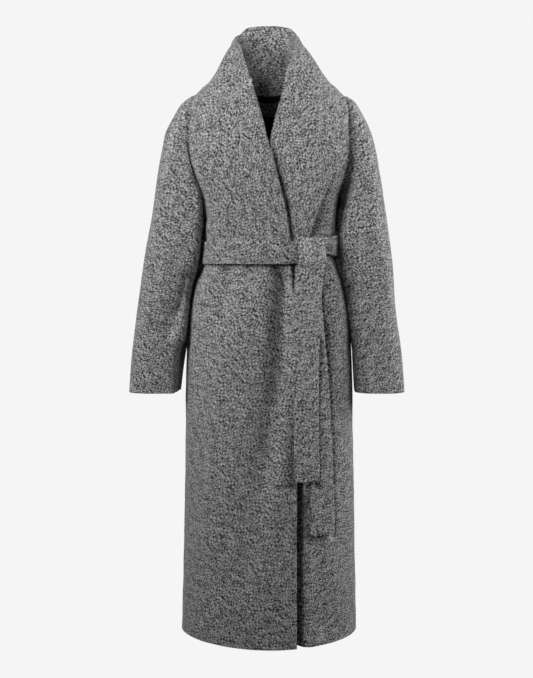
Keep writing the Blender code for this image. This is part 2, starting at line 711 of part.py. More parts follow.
def sheet(name, columns, rows, place, wall, finish, turned=False, closed=False):
    """One cloth piece: a grid laid in place by its function, with a wall on its wrong side.

    turned says that the function's across and along make a normal on the wrong side; closed
    joins the two long edges to a tube.
    """
    bm = bmesh.new()
    bmesh.ops.create_grid(bm, x_segments=columns, y_segments=rows, size=0.5)
    flat = np.array([vert.co[:2] for vert in bm.verts]).round(6) + 0.5
    across, along = flat.T
    wall_way = normals(place, across, along, closed) * (1 if turned else -1)
    ways = {}
    for vert, point, way in zip(bm.verts, place(across, along), wall_way):
        vert.co = point
        ways[tuple(vert.co)] = way
    if closed:
        bmesh.ops.remove_doubles(bm, verts=bm.verts, dist=1e-6)
    right_side = bm.verts[:] + bm.edges[:] + bm.faces[:]
    made = bmesh.ops.extrude_face_region(bm, geom=right_side, use_keep_orig=True)["geom"]
    for vert in (item for item in made if isinstance(item, bmesh.types.BMVert)):
        vert.co = np.array(vert.co) + wall * ways[tuple(vert.co)]
    bmesh.ops.recalc_face_normals(bm, faces=bm.faces)
    if bm.calc_volume(signed=True) < 0:
        bmesh.ops.reverse_faces(bm, faces=bm.faces)
    mesh = bpy.data.meshes.new(name)
    bm.to_mesh(mesh)
    bm.free()
    mesh.shade_smooth()
    mesh.set_sharp_from_angle(angle=SHARP)
    mesh.materials.append(finish)
    piece = bpy.data.objects.new(name, mesh)
    bpy.context.scene.collection.objects.link(piece)
    return piece


def main():
    for old in list(bpy.data.objects):
        bpy.data.objects.remove(old)
    wool = material("Wool", (0.165, 0.165, 0.170), 0.95, 0.3)
    wool_inside = material("Wool_inside", (0.060, 0.060, 0.064), 0.95, 0.2)
    tape = material("Tape", (0.010, 0.013, 0.026), 0.70, 0.0)
    satin = material("Lining", (0.006, 0.006, 0.007), 0.45, 0.0)

    for side, name in ((RIGHT, "right"), (LEFT, "left")):
        mirrored = side == LEFT
        sheet(f"front_{name}", 16, FRONT_ROWS, lambda u, v: front(side, u, v), CLOTH, wool, mirrored)
        sheet(f"shawl_{name}", 34, ACROSS, lambda u, v: shawl(side, u, v), CLOTH, wool, not mirrored)
        arm = lambda u, v: sleeve(side, u, v)
        sheet(f"sleeve_{name}", 20, 16, arm, CLOTH, wool, not mirrored, closed=True)
    sheet("back", 20, BACK_ROWS, back, CLOTH, wool, turned=True)
    sheet("neck_facing", 14, FACING_ROWS, neck_facing, TRIM, wool_inside)
    sheet("neck_tape", 14, 1, neck_tape, TRIM, tape)
    sheet("lining", 12, 5, lining, TRIM, satin)
    sheet("belt_round", 56, 2, belt_round, BELT_CLOTH, wool)
    front_path = np.concatenate([fold_path(), end_path(END_FRONT)])
    back_path = end_path(END_BACK)
    sheet("belt_end_front", 2, 34, lambda u, v: hang(front_path, u, v), BELT_CLOTH, wool, True)
    sheet("belt_end_back", 2, 24, lambda u, v: hang(back_path, u, v), BELT_CLOTH, wool, True)


main()
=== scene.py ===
# %% [markdown]
# # A long wrap coat in thick boucle wool
#
# The coat hangs open and hollow, as on a wearer who isn't there: a wide shawl collar that stands
# at the back and turns over into lapels, two overlapping fronts, plain set-in sleeves, and a belt
# of the same cloth, tied at one side.
#
# Cloth could be simulated, but a heavy wool like this one keeps the shape that its cut gives it.
# So each piece starts as a flat grid, as cloth starts on a cutting table. A function lays the
# grid on the body, its creases are placed one by one in their own sizes, and a modifier gives the
# cloth its thickness.

import bmesh
import bpy
import numpy as np
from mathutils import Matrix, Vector


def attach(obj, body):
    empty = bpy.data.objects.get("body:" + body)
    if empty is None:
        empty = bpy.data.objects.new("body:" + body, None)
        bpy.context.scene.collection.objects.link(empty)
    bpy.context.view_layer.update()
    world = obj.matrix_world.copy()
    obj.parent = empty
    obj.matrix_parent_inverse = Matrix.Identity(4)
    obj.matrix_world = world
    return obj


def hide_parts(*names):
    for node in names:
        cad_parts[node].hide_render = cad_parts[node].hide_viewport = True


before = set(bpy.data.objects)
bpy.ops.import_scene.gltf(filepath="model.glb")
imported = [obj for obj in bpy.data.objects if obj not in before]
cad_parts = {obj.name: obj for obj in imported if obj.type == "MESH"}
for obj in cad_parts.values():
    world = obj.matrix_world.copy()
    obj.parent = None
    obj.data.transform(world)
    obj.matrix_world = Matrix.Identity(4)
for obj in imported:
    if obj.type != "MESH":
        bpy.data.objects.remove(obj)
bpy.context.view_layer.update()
print("nodes:", ", ".join(sorted(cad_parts)))

# %% [markdown]
# ## Tables and smooth curves
#
# A pattern cutter writes measures in a table and draws smooth curves through them. We do the
# same: `table` reads rows into named columns, and `follow` runs a smooth curve through values at
# given places. Each stretch between two places is a cubic that meets its neighbours at the same
# slope, so the cloth gets no corners there.

# %% Tables and curves
RIGHT, LEFT = -1, 1  # the wearer's sides, as the sign of x


def table(names, rows):
    return dict(zip(names.split(), np.array(rows, float).T))


def follow(at, knots, values):
    knots = np.asarray(knots, float)
    values = np.asarray(values, float)
    at = np.clip(np.asarray(at, float), knots[0], knots[-1])
    slopes = np.gradient(values, knots, axis=0)
    low = np.clip(np.searchsorted(knots, at, side="right") - 1, 0, len(knots) - 2)
    step = knots[low + 1] - knots[low]
    t = (at - knots[low]) / step
    extra = (1,) * (values.ndim - 1)
    t = t.reshape(np.shape(t) + extra)
    step = step.reshape(np.shape(step) + extra)
    start = values[low] * (1 + 2 * t) * (1 - t) ** 2 + slopes[low] * step * t * (1 - t) ** 2
    end = values[low + 1] * t**2 * (3 - 2 * t) + slopes[low + 1] * step * t**2 * (t - 1)
    return start + end


def ease(value, low, high):
    t = np.clip((value - low) / (high - low), 0, 1)
    return t * t * (3 - 2 * t)


def unit(vectors):
    return vectors / np.linalg.norm(vectors, axis=-1, keepdims=True)


print("halfway between 0 and 1 at 0.25:", round(float(ease(0.25, 0, 1)), 3))

# %% [markdown]
# ## Measures that several pieces share
#
# Before cutting, a maker notes the thickness of each cloth and the few places that everything
# else hangs on: the belt, the tip of the shoulder, the side of the neck and the lowest point of
# the armhole. All are in metres from the base of the neck, with x to the wearer's left, the front
# towards -y and z up.

# %% Shared measures
CLOTH = 0.0030  # the coat's wool
TRIM = 0.0012  # the thin sheets inside the neck
SEAM = 0.0003  # the gap between two pieces that are sewn together
BELT_WIDTH = 0.049
BELT_HEIGHT = -0.3575  # of its middle
BELT_CLOTH = 0.0040
SHOULDER_TIP = 0.1608
SHOULDER_TIP_HEIGHT = -0.0161
NECK_SIDE = 0.0759
ARMHOLE_BOTTOM = -0.2371
print(f"wool {CLOTH * 1000} mm thick, belt {BELT_WIDTH * 1000} mm wide, waist at {BELT_HEIGHT} m")

# %% [markdown]
# ## The body that the coat is filled out to
#
# The fronts, the back, the lapels and the belt all lie on one smooth surface. It could be a mesh,
# but a formula can be asked for a point anywhere. Level sections of the coat are rounded
# rectangles more than circles, so each is a superellipse: an ellipse whose power is about 2 at
# the skirt and about 3 at the chest. The first table gives half width, front and back depth and
# power at each height, from the hem to the neck, and the second the line of the armhole.

# %% The body's measures
BODY = table(
    "height half_width front back power",
    [
        (-1.196, 0.1959, 0.157, 0.149, 1.80),
        (-1.009, 0.1905, 0.149, 0.142, 1.95),
        (-0.8035, 0.1865, 0.140, 0.134, 2.05),
        (-0.600, 0.1822, 0.131, 0.125, 2.10),
        (-0.528, 0.1790, 0.127, 0.119, 2.10),
        (-0.462, 0.1721, 0.121, 0.110, 2.15),
        (-0.418, 0.1618, 0.114, 0.100, 2.25),
        (-0.390, 0.1497, 0.108, 0.092, 2.35),
        (-0.357, 0.1436, 0.106, 0.089, 2.50),
        (-0.3005, 0.1448, 0.108, 0.091, 2.85),
        (-0.2371, 0.1502, 0.112, 0.095, 3.10),
        (-0.2015, 0.1652, 0.114, 0.098, 3.15),
        (-0.1525, 0.1813, 0.113, 0.101, 3.10),
        (-0.1035, 0.1870, 0.108, 0.101, 2.85),
        (-0.055, 0.1857, 0.098, 0.094, 2.60),
        (-0.006, 0.1815, 0.086, 0.074, 2.50),
        (0.052, 0.1772, 0.078, 0.066, 2.50),
    ],
)
ARMHOLE = table(
    "height reach",
    [
        (-0.2371, 0.1502),
        (-0.2213, 0.1540),
        (-0.2015, 0.1600),
        (-0.1672, 0.1675),
        (-0.1133, 0.1702),
        (-0.0644, 0.1670),
        (-0.0161, 0.1608),
    ],
)
print("half widths of the body in mm:", (1000 * BODY["half_width"]).round(1))

# %% [markdown]
# ## Points on the body
#
# `depth` says how deep the body is at a point as seen from the front, or from the back. Over the
# shoulders it rolls in to nothing at the shoulder line. `lay` puts points on that surface and
# moves them out of it along its normal, so that a lapel lies on a front and the belt lies on
# both. It finds the normal from the surface's slope over a very small step.

# %% Points on the body
SHOULDER_SLOPE = 0.45  # fall of the shoulder line, outwards from the side of the neck
NECK_SLOPE = 1.0  # its rise towards the neck
SHOULDER_ROLL = 0.070  # from this far below the shoulder line the surface rolls in
SLOPE_STEP = 2e-4


def ridge(x):
    """Height of the shoulder line, which turns up into the neck."""
    reach = np.abs(x)
    outer = SHOULDER_TIP_HEIGHT + SHOULDER_SLOPE * (SHOULDER_TIP - np.maximum(reach, NECK_SIDE))
    return outer + NECK_SLOPE * np.maximum(NECK_SIDE - reach, 0)


def half_width(z):
    return follow(z, BODY["height"], BODY["half_width"])


def armhole(z):
    return follow(z, ARMHOLE["height"], ARMHOLE["reach"])


def depth(x, z, back=False):
    power = follow(z, BODY["height"], BODY["power"])
    reach = follow(z, BODY["height"], BODY["back" if back else "front"])
    beside = np.clip(np.abs(x) / half_width(z), 0, 1) ** power
    below = np.clip((ridge(x) - z) / SHOULDER_ROLL, 0, 1)
    return reach * (1 - beside) ** (1 / power) * np.sqrt(1 - (1 - below) ** 2)


def lay(x, z, out=0.0, back=False):
    x, z, out = np.broadcast_arrays(np.asarray(x, float), z, out)
    ahead_x, behind_x = depth(x + SLOPE_STEP, z, back), depth(x - SLOPE_STEP, z, back)
    ahead_z, behind_z = depth(x, z + SLOPE_STEP, back), depth(x, z - SLOPE_STEP, back)
    slope_x, slope_z = (ahead_x - behind_x) / (2 * SLOPE_STEP), (ahead_z - behind_z) / (2 * SLOPE_STEP)
    facing = np.full_like(x, 1.0 if back else -1.0)
    normal = unit(np.stack([-slope_x, facing, -slope_z], axis=-1))
    points = np.stack([x, facing * depth(x, z, back), z], axis=-1)
    return points + out[..., None] * normal


waist = half_width(BELT_HEIGHT), depth(0, BELT_HEIGHT), depth(0, BELT_HEIGHT, back=True)
print("waist, half width and depths in mm:", (1000 * np.array(waist)).round(1))

# %% [markdown]
# ## Pressing in a crease
#
# A crease in thick wool is a soft trough or ridge that starts at what pulls the cloth, here the
# belt, the armhole or the elbow, and fades out as it goes. It could be sculpted by hand, but a
# line with a width and a height can be read and changed. `press_along` moves points out of their
# surface along one line, whose rows give its points, its width and its height, which is below
# zero for a trough. `press` does it for a table of short creases, each with three points, its
# width at both ends and one height.

# %% Press in a crease
CREASE = "x0 z0 x1 z1 x2 z2 width0 width2 height"
FOLD = "x z width height"
STEPS = 6  # short straight steps between two points of a line


def press_along(x, z, line, lean=0.0):
    """Move points out along a line; with a lean its right side is steeper than its left one."""
    marks = np.arange(len(line["x"]))
    t = np.linspace(0, marks[-1], STEPS * marks[-1] + 1)
    line_x, line_z, widths, heights = (follow(t, marks, line[name]) for name in FOLD.split())
    nearest = np.full(np.broadcast(x, z).shape, np.inf)
    height = np.zeros_like(nearest)
    for step in range(len(t) - 1):
        way_x, way_z = line_x[step + 1] - line_x[step], line_z[step + 1] - line_z[step]
        share = ((x - line_x[step]) * way_x + (z - line_z[step]) * way_z) / (way_x**2 + way_z**2)
        share = np.clip(share, 0, 1)
        away = np.hypot(x - line_x[step] - share * way_x, z - line_z[step] - share * way_z)
        beside = np.sign(way_x * (z - line_z[step]) - way_z * (x - line_x[step]))
        away = away / (widths[step] + share * (widths[step + 1] - widths[step])) / (1 - lean * beside)
        closer = away < nearest
        nearest = np.where(closer, away, nearest)
        height = np.where(closer, heights[step] + share * (heights[step + 1] - heights[step]), height)
    return height * np.exp(-(nearest**2))


def press(x, z, creases):
    moved = 0
    for x0, z0, x1, z1, x2, z2, width0, width2, height in zip(*creases.values()):
        middle = 0.5 * (width0 + width2)
        rows = [(x0, z0, width0, height), (x1, z1, middle, height), (x2, z2, width2, height)]
        moved = moved + press_along(x, z, table(FOLD, rows))
    return moved


trough = table(FOLD, [(0.0, 0.0, 0.010, -0.005), (0.0, -0.1, 0.010, -0.005)])
beside_it = 1000 * float(press_along(0.010, -0.05, trough))
print("a trough 5 mm deep, measured 10 mm beside its line, in mm:", round(beside_it, 2))

# %% [markdown]
# ## A slow unevenness
#
# Cloth that hangs is never quite even. A few long waves in different directions, added up, give
# it low swells that don't repeat. Each place where they are used has its own seed, so that the
# coat comes out the same each time.

# %% Slow waves
WAVES = 7
WAVE_LENGTHS = 0.7, 1.6  # the shortest and the longest, for a size of 1
WAVE_SUM = 4  # about the highest sum of the waves


def uneven(x, z, size, seed):
    """A slow unevenness of about -1 to 1, with waves of about the given size."""
    waves = np.random.default_rng(seed)
    total = 0
    for _ in range(WAVES):
        turn, phase = waves.uniform(0, 2 * np.pi, 2)
        length = size * waves.uniform(*WAVE_LENGTHS)
        total = total + np.sin(2 * np.pi * (x * np.cos(turn) + z * np.sin(turn)) / length + phase)
    return total / WAVE_SUM


print("unevenness at three places:", uneven(np.array([0.0, 0.1, 0.2]), 0.0, size=0.2, seed=3).round(2))

# %% [markdown]
# ## Folds and creases of the fronts
#
# The tie draws the cloth together, so the deepest fold falls from it down the top front, and
# short gathers start under the belt. Slow folds run down the skirt, and over the chest the cloth
# is pulled towards the tie. Where a lapel or a belt end casts a line of shade, the cloth beside
# it is pressed in.

# %% Creases of the fronts
LONG_FOLD = table(
    FOLD,
    [
        # It falls from the tie over the top front and dies out above the hem.
        (0.0170, -0.385, 0.0090, -0.0080),
        (0.0300, -0.425, 0.0180, -0.0190),
        (0.0300, -0.500, 0.0240, -0.0240),
        (0.0260, -0.600, 0.0270, -0.0225),
        (0.0150, -0.700, 0.0300, -0.0180),
        (-0.0070, -0.800, 0.0330, -0.0145),
        (-0.0250, -0.900, 0.0360, -0.0110),
        (-0.0370, -1.000, 0.0390, -0.0080),
        (-0.0420, -1.110, 0.0400, 0.0000),
    ],
)
FOLD_LEAN = 0.25  # the fold's right side is that much steeper
LAPEL_SHADE = table(
    FOLD,
    [
        # The left front falls back under the free edge of its lapel.
        (0.1330, -0.185, 0.0050, 0.0000),
        (0.1240, -0.215, 0.0075, -0.0080),
        (0.1110, -0.255, 0.0085, -0.0110),
        (0.0970, -0.298, 0.0080, -0.0100),
        (0.0880, -0.325, 0.0065, -0.0060),
    ],
)
ROLL_SHADE = table(
    FOLD,
    [
        # The left lapel is pressed in beside the roll of the right one, which lies over it.
        (0.0010, -0.125, 0.0035, 0.0000),
        (0.0120, -0.165, 0.0040, -0.0060),
        (0.0225, -0.203, 0.0040, -0.0090),
        (0.0320, -0.240, 0.0045, -0.0100),
        (0.0405, -0.271, 0.0045, -0.0100),
        (0.0470, -0.331, 0.0045, -0.0080),
    ],
)
FRONT_CREASES = table(
    CREASE,
    [
        # The cloth beside the hanging ends, drawn up to the tie.
        (0.027, -0.400, 0.036, -0.425, 0.052, -0.455, 0.0045, 0.004, -0.0060),
        (0.044, -0.388, 0.046, -0.410, 0.050, -0.440, 0.010, 0.005, 0.0045),
        (0.0515, -0.378, 0.0520, -0.410, 0.0525, -0.445, 0.0035, 0.003, -0.0050),
        (0.111, -0.372, 0.1085, -0.450, 0.1150, -0.545, 0.0060, 0.0060, -0.0120),
        (0.1185, -0.520, 0.1320, -0.700, 0.1395, -0.960, 0.0055, 0.0065, -0.0120),
        # Gathers under the belt.
        (-0.088, -0.385, -0.092, -0.420, -0.099, -0.480, 0.010, 0.020, -0.0090),
        (-0.060, -0.390, -0.062, -0.470, -0.066, -0.560, 0.014, 0.020, 0.0030),
        (-0.040, -0.385, -0.044, -0.415, -0.050, -0.450, 0.008, 0.013, -0.0030),
        (0.130, -0.385, 0.139, -0.440, 0.148, -0.520, 0.009, 0.020, 0.0050),
        # Slow folds of the skirt.
        (-0.100, -0.560, -0.112, -0.760, -0.120, -0.960, 0.020, 0.034, 0.0045),
        (-0.150, -0.560, -0.156, -0.760, -0.164, -0.960, 0.018, 0.030, -0.0050),
        (0.020, -0.700, 0.028, -0.800, 0.026, -0.900, 0.016, 0.026, 0.0050),
        (0.086, -0.902, 0.100, -1.005, 0.112, -1.150, 0.020, 0.030, -0.0050),
        (0.135, -0.620, 0.146, -0.820, 0.156, -1.020, 0.016, 0.026, -0.0045),
        # Folds over the chest, pulled towards the tie.
        (0.052, -0.330, 0.063, -0.308, 0.081, -0.281, 0.003, 0.005, -0.0030),
        (-0.135, -0.285, -0.095, -0.312, -0.050, -0.325, 0.012, 0.008, -0.0030),
        (-0.125, -0.320, -0.090, -0.332, -0.050, -0.336, 0.006, 0.004, 0.0015),
    ],
)
deepest = min(LONG_FOLD["height"].min(), FRONT_CREASES["height"].min())
print("deepest crease of the fronts in mm:", 1000 * deepest)

# %% [markdown]
# ## Creases of the back, and the dip at the armholes
#
# Three folds fall down the back from the belt, and two short ones rise from it. Along both
# armholes fronts and back dip a little towards the seam. `front_relief` and `back_relief` add up
# all that moves the cloth out of the body surface.

# %% Relief of fronts and back
BACK_CREASES = table(
    CREASE,
    [
        (-0.070, -0.410, -0.081, -0.605, -0.090, -0.800, 0.014, 0.040, -0.0050),
        (0.050, -0.410, 0.054, -0.655, 0.058, -0.900, 0.014, 0.040, -0.0050),
        (-0.010, -0.410, -0.008, -0.525, -0.006, -0.640, 0.010, 0.028, -0.0040),
        (0.060, -0.300, 0.056, -0.240, 0.050, -0.180, 0.010, 0.024, -0.0030),
        (-0.064, -0.300, -0.058, -0.235, -0.050, -0.170, 0.010, 0.024, -0.0030),
    ],
)
SEAM_VALLEY = 0.0003, 0.0012  # on the wearer's right and left side
SEAM_VALLEY_WIDTH = 0.005
SEAM_VALLEY_START = 0.01  # it comes up over this much, below and above the armhole's lowest point
SKIRT_START = 0.40, 0.50  # the skirt's own unevenness comes up over these depths
SKIRT_WAVE, SKIRT_WAVE_SIZE = 0.0012, 0.20  # height and size of the skirt's slow waves
CLOTH_WAVE, CLOTH_WAVE_SIZE = 0.0004, 0.06  # and of the shorter ones all over


def seam_valley(x, z):
    """Cloth dips a little towards the seam that joins it to a sleeve."""
    away = (armhole(z) - np.abs(x)) / SEAM_VALLEY_WIDTH
    valley = np.where(x < 0, *SEAM_VALLEY)
    start = ease(z - ARMHOLE_BOTTOM, -SEAM_VALLEY_START, SEAM_VALLEY_START)
    return -valley * np.exp(-(away**2)) * start


def slow_waves(x, z, skirt_seed, cloth_seed):
    skirt = SKIRT_WAVE * ease(-z, *SKIRT_START) * uneven(x, z, SKIRT_WAVE_SIZE, skirt_seed)
    return skirt + CLOTH_WAVE * uneven(x, z, CLOTH_WAVE_SIZE, cloth_seed)


def front_relief(x, z):
    """How far the creases and the unevenness of the fronts move the cloth out; x as it is."""
    folds = press(x, z, FRONT_CREASES) + press_along(x, z, LONG_FOLD, FOLD_LEAN)
    return folds + slow_waves(x, z, skirt_seed=3, cloth_seed=5) + seam_valley(x, z)


def back_relief(x, z):
    return press(x, z, BACK_CREASES) + slow_waves(x, z, skirt_seed=4, cloth_seed=6) + seam_valley(x, z)


print("the long fold, 0.5 m down, in mm:", round(1000 * float(front_relief(0.030, -0.500)), 1))

# %% [markdown]
# ## Which layer lies where
#
# The right front is on top and the left one is tucked under it. Where they overlap, the left
# front runs 9 to 14 mm further in, and it comes out to the body surface beyond the overlap. Below
# the belt's ends it comes out sooner, and falls back beside the top front's edge, which leaves a
# dark slit. Over the chest it is pressed in beside the roll of the right lapel. One function says
# this for both fronts, so the lapels, which lie on them, can ask it too.

# %% Layers of the wrap
TUCK = table(
    "height depth",
    [
        (-1.196, 0.0140),
        (-0.800, 0.0120),
        (-0.450, 0.0100),
        (-0.357, 0.0090),
        (-0.090, 0.0090),
        (0.000, 0.0000),
    ],
)
OVERLAP_ENDS = 0.060, 0.150  # between these widths the left front comes out
SLIT_END = 0.092  # below the belt's ends it is out this soon
BELOW_ENDS = 0.60, 0.78  # how far down that change starts and ends
SLIT = table(
    CREASE,
    [
        (0.0630, -0.760, 0.0635, -0.960, 0.0635, -1.210, 0.0060, 0.0070, -0.0190),
    ],
)


def layer(side, x, z, creased=True):
    """How far out of the body surface a front lies; x is counted as on the right front."""
    moved = front_relief(x * -side, z) if creased else 0.0 * x
    if side == LEFT:
        end = OVERLAP_ENDS[1] + (SLIT_END - OVERLAP_ENDS[1]) * ease(-z, *BELOW_ENDS)
        covered = 1 - ease(-x, OVERLAP_ENDS[0], end)
        moved = moved - follow(z, TUCK["height"], TUCK["depth"]) * covered
        if creased:
            moved = moved + press(-x, z, SLIT) + press_along(-x, z, ROLL_SHADE)
    return moved


print("the left front lies this far in at the hem, in mm:", -1000 * round(float(layer(LEFT, 0, -1.19)), 4))

# %% [markdown]
# ## From a flat grid to a laid one
#
# Every piece is made the same way. `bmesh.ops.create_grid` gives a flat grid, whose points run
# from 0 to 1 across and along the piece. A function that belongs to the piece lays them in
# place. The laid grid's normals tell later which way its creases go.

# %% Lay a grid
pieces = {}


def laid_grid(name, grid, place, turned):
    """Lay a flat grid. Gives the piece, its points on the grid, in space, and their normals."""
    columns, rows = grid
    bm = bmesh.new()
    bmesh.ops.create_grid(bm, x_segments=columns, y_segments=rows, size=0.5)
    across, along = (np.array([vert.co[:2] for vert in bm.verts]).round(6) + 0.5).T
    laid = place(across, along)
    for vert, point in zip(bm.verts, laid):
        vert.co = point
    if turned:
        bmesh.ops.reverse_faces(bm, faces=bm.faces)
    bm.normal_update()
    outward = np.array([vert.normal for vert in bm.verts])
    mesh = bpy.data.meshes.new(name)
    bm.to_mesh(mesh)
    bm.free()
    piece = bpy.data.objects.new(name, mesh)
    bpy.context.scene.collection.objects.link(piece)
    return piece, across, along, laid, outward


print("pieces so far:", len(pieces))

# %% [markdown]
# ## The flat pattern
#
# The real piece was cut from flat cloth, so its weave runs straight in the flat pattern, not
# along our grid. Unwrapping finds that pattern: it flattens the surface with as little stretch
# as it can. `flat_pattern` does this and then scales the UV map to metres and turns it so that
# the grid's own measures fit best. The weave then has the same size on every piece, and the
# pattern's size tells how much cloth the piece takes.

# %% Find the flat pattern


def grid_measures(net):
    """Lengths across and along a laid grid, from its middle and from its first row, in metres."""
    steps_across = np.linalg.norm(np.diff(net, axis=1), axis=-1)
    steps_along = np.linalg.norm(np.diff(net, axis=0), axis=-1)
    u = np.concatenate([np.zeros_like(steps_across[:, :1]), np.cumsum(steps_across, axis=1)], axis=1)
    u -= u[:, net.shape[1] // 2, None]
    v = np.concatenate([np.zeros_like(steps_along[:1]), np.cumsum(steps_along, axis=0)], axis=0)
    v = np.broadcast_to(v.mean(axis=1, keepdims=True), u.shape)
    return np.stack([u, v], axis=-1).reshape(-1, 2)


APART = np.array([1.7, 0.9])  # metres between the patterns of two pieces, so that no weave repeats


def flat_pattern(piece, measured, strip):
    """Write a piece's pattern into its UV map, in metres, and give the pattern's size and area."""
    mesh = piece.data
    mesh.uv_layers.new(name="Weave")
    corners = np.empty(len(mesh.loops), int)
    mesh.loops.foreach_get("vertex_index", corners)
    wanted = measured[corners]
    if strip:
        # A belt is cut as a straight strip, so its own measures are its pattern.
        mesh.uv_layers["Weave"].uv.foreach_set("vector", (wanted + APART * len(pieces)).ravel())
        size = np.ptp(wanted, axis=0)
        return size, size[0] * size[1]

    bpy.context.view_layer.objects.active = piece
    piece.select_set(True)
    bpy.ops.object.mode_set(mode="EDIT")
    bpy.ops.mesh.select_all(action="SELECT")
    bpy.ops.uv.unwrap(method="CONFORMAL", margin=0)
    bpy.ops.object.mode_set(mode="OBJECT")
    piece.select_set(False)
    found = np.empty(2 * len(mesh.loops))
    mesh.uv_layers["Weave"].uv.foreach_get("vector", found)
    found = found.reshape(-1, 2)
    centre, target = found.mean(axis=0), wanted.mean(axis=0)
    # The turn, or mirroring, that brings the pattern closest to the measures.
    left, _, right = np.linalg.svd((found - centre).T @ (wanted - target))
    turned = (found - centre) @ left @ right

    quads = turned.reshape(-1, 4, 2)
    one, two = quads[:, 2] - quads[:, 0], quads[:, 3] - quads[:, 1]
    pattern_area = 0.5 * np.abs(one[:, 0] * two[:, 1] - one[:, 1] * two[:, 0]).sum()
    cloth_area = sum(face.area for face in mesh.polygons)
    turned *= np.sqrt(cloth_area / pattern_area)
    placed = turned + target + APART * len(pieces)
    mesh.uv_layers["Weave"].uv.foreach_set("vector", placed.ravel())
    return np.ptp(placed, axis=0), cloth_area


print("the patterns of two pieces lie this far apart, in metres:", APART)

# %% [markdown]
# ## Seams, thickness and soft edges
#
# A tube, such as a sleeve, is unwrapped first and then sewn: its two long edges are merged.
# Solidify gives the cloth its thickness on its wrong side, and Bevel rounds the cut edges, which
# is what makes a thick wool look soft.

# %% Sew and thicken
EDGE_ROUND = 0.0011  # of the coat's wool
EDGE_ANGLE = 50  # degrees: only the cut edges turn by more
EDGE_STEPS = 3


def sew(mesh):
    bm = bmesh.new()
    bm.from_mesh(mesh)
    bmesh.ops.remove_doubles(bm, verts=bm.verts, dist=1e-6)
    bm.to_mesh(mesh)
    bm.free()


def thicken(piece, wall, edge):
    thick = piece.modifiers.new("Thickness", "SOLIDIFY")
    thick.thickness = wall
    thick.offset = -1
    round_edge = piece.modifiers.new("Soft edge", "BEVEL")
    round_edge.limit_method = "ANGLE"
    round_edge.angle_limit = np.radians(EDGE_ANGLE)
    round_edge.width = edge
    round_edge.segments = EDGE_STEPS
    round_edge.profile = 0.5


print("a cut edge is rounded by", EDGE_ROUND * 1000, "mm")

# %% [markdown]
# ## One function for every piece
#
# `cloth` puts these steps in a maker's order: lay the grid, find its pattern, press the creases
# in, sew it and give it its thickness. Creases come after the pattern, because they are pressed
# into cloth that is already cut. They come as a second, creased place for the same grid, or as a
# relief along the normals, or as both.

# %% Make one piece


def cloth(
    name,
    place,
    grid,
    wall=CLOTH,
    edge=EDGE_ROUND,
    turned=False,
    closed=False,
    strip=False,
    grain=1,
    relief=None,
    creased=None,
):
    """Make a piece of cloth from a place for its grid, whose columns and rows are given."""
    piece, across, along, laid, outward = laid_grid(name, grid, place, turned)
    mesh = piece.data

    # The grid's points in rows, to measure the lines that they lie on.
    columns, rows = grid
    order = np.lexsort((across.round(4), along.round(4)))
    measured = np.empty((len(laid), 2))
    measured[order] = grid_measures(laid[order].reshape(rows + 1, columns + 1, 3))
    measured[:, 1] *= grain
    (width, length), area = flat_pattern(piece, measured, strip)

    if creased:
        laid = creased(across, along)
        mesh.vertices.foreach_set("co", laid.ravel())
    if closed:
        # Both edges of a tube's seam move together.
        first, last = order.reshape(rows + 1, columns + 1)[:, [0, -1]].T
        outward[first] = outward[last] = unit(outward[first] + outward[last])
    if relief:
        moved = laid + relief(across, along, laid)[:, None] * outward
        mesh.vertices.foreach_set("co", moved.ravel())
    if closed:
        sew(mesh)
    mesh.shade_smooth()
    thicken(piece, wall, edge)
    pieces[name] = piece, float(width), float(length), float(area)
    print(f"{name}: {width * 1000:.0f} x {length * 1000:.0f} mm, {area:.3f} m2")


print("every piece has a wall of", CLOTH * 1000, "mm, unless it says otherwise")

# %% [markdown]
# ## Collar and lapels: the sections
#
# A shawl collar and its lapels are one piece on each side, joined at the middle of the back. It
# is drawn as sections across it: each starts at the seam, rises to the line where the collar
# rolls over, and falls over its wing to the free edge. Pulling a flat strip into that shape by
# hand would be slow, and it would be hard to keep both halves alike, but sections are few and
# each can be measured. The first table gives those that stand on the neckline, the second those
# that lie on the chest, with the roll past the front's edge. The third says how much wider or
# narrower each side's wing is, by its height.

# %% Collar sections
LAPEL_LIFT = 0.0052
ROLL_REACH = 0.0050
CREST_REACH = 0.0100
COLLAR_GAP = 0.0011

COLLAR = table(
    "neck_x neck_z crest_x crest_y crest_z wing_x wing_y wing_z edge_x edge_y edge_z left_roll",
    [
        (0.0000, -0.0116, 0.0000, 0.079, 0.043, 0.0000, 0.089, 0.096, 0.0000, 0.099, 0.1500, 1.00),
        (0.0237, -0.0087, 0.0227, 0.078, 0.043, 0.0207, 0.089, 0.096, 0.0196, 0.097, 0.1490, 0.99),
        (0.0454, -0.0019, 0.0440, 0.070, 0.045, 0.0420, 0.083, 0.097, 0.0363, 0.092, 0.1462, 0.96),
        (0.0611, 0.0069, 0.0565, 0.047, 0.059, 0.0560, 0.063, 0.1035, 0.0550, 0.082, 0.1400, 0.90),
        (0.0710, 0.0156, 0.0590, 0.014, 0.086, 0.0670, 0.035, 0.1070, 0.0777, 0.058, 0.1145, 0.84),
        (0.0759, 0.0221, 0.0598, -0.018, 0.0835, 0.0800, -0.004, 0.0905, 0.0955, 0.034, 0.0748, 0.82),
        (0.0690, 0.0135, 0.0556, -0.048, 0.060, 0.0915, -0.034, 0.062, 0.1128, 0.018, 0.0418, 0.82),
        (0.0572, 0.0018, 0.0457, -0.076, 0.027, 0.0955, -0.058, 0.030, 0.1321, 0.004, 0.0107, 0.84),
        (0.0424, -0.0089, 0.0365, -0.0915, 0.000, 0.0946, -0.074, 0.004, 0.1460, -0.018, -0.0059, 0.88),
    ],
)
BACK_SECTIONS = 5
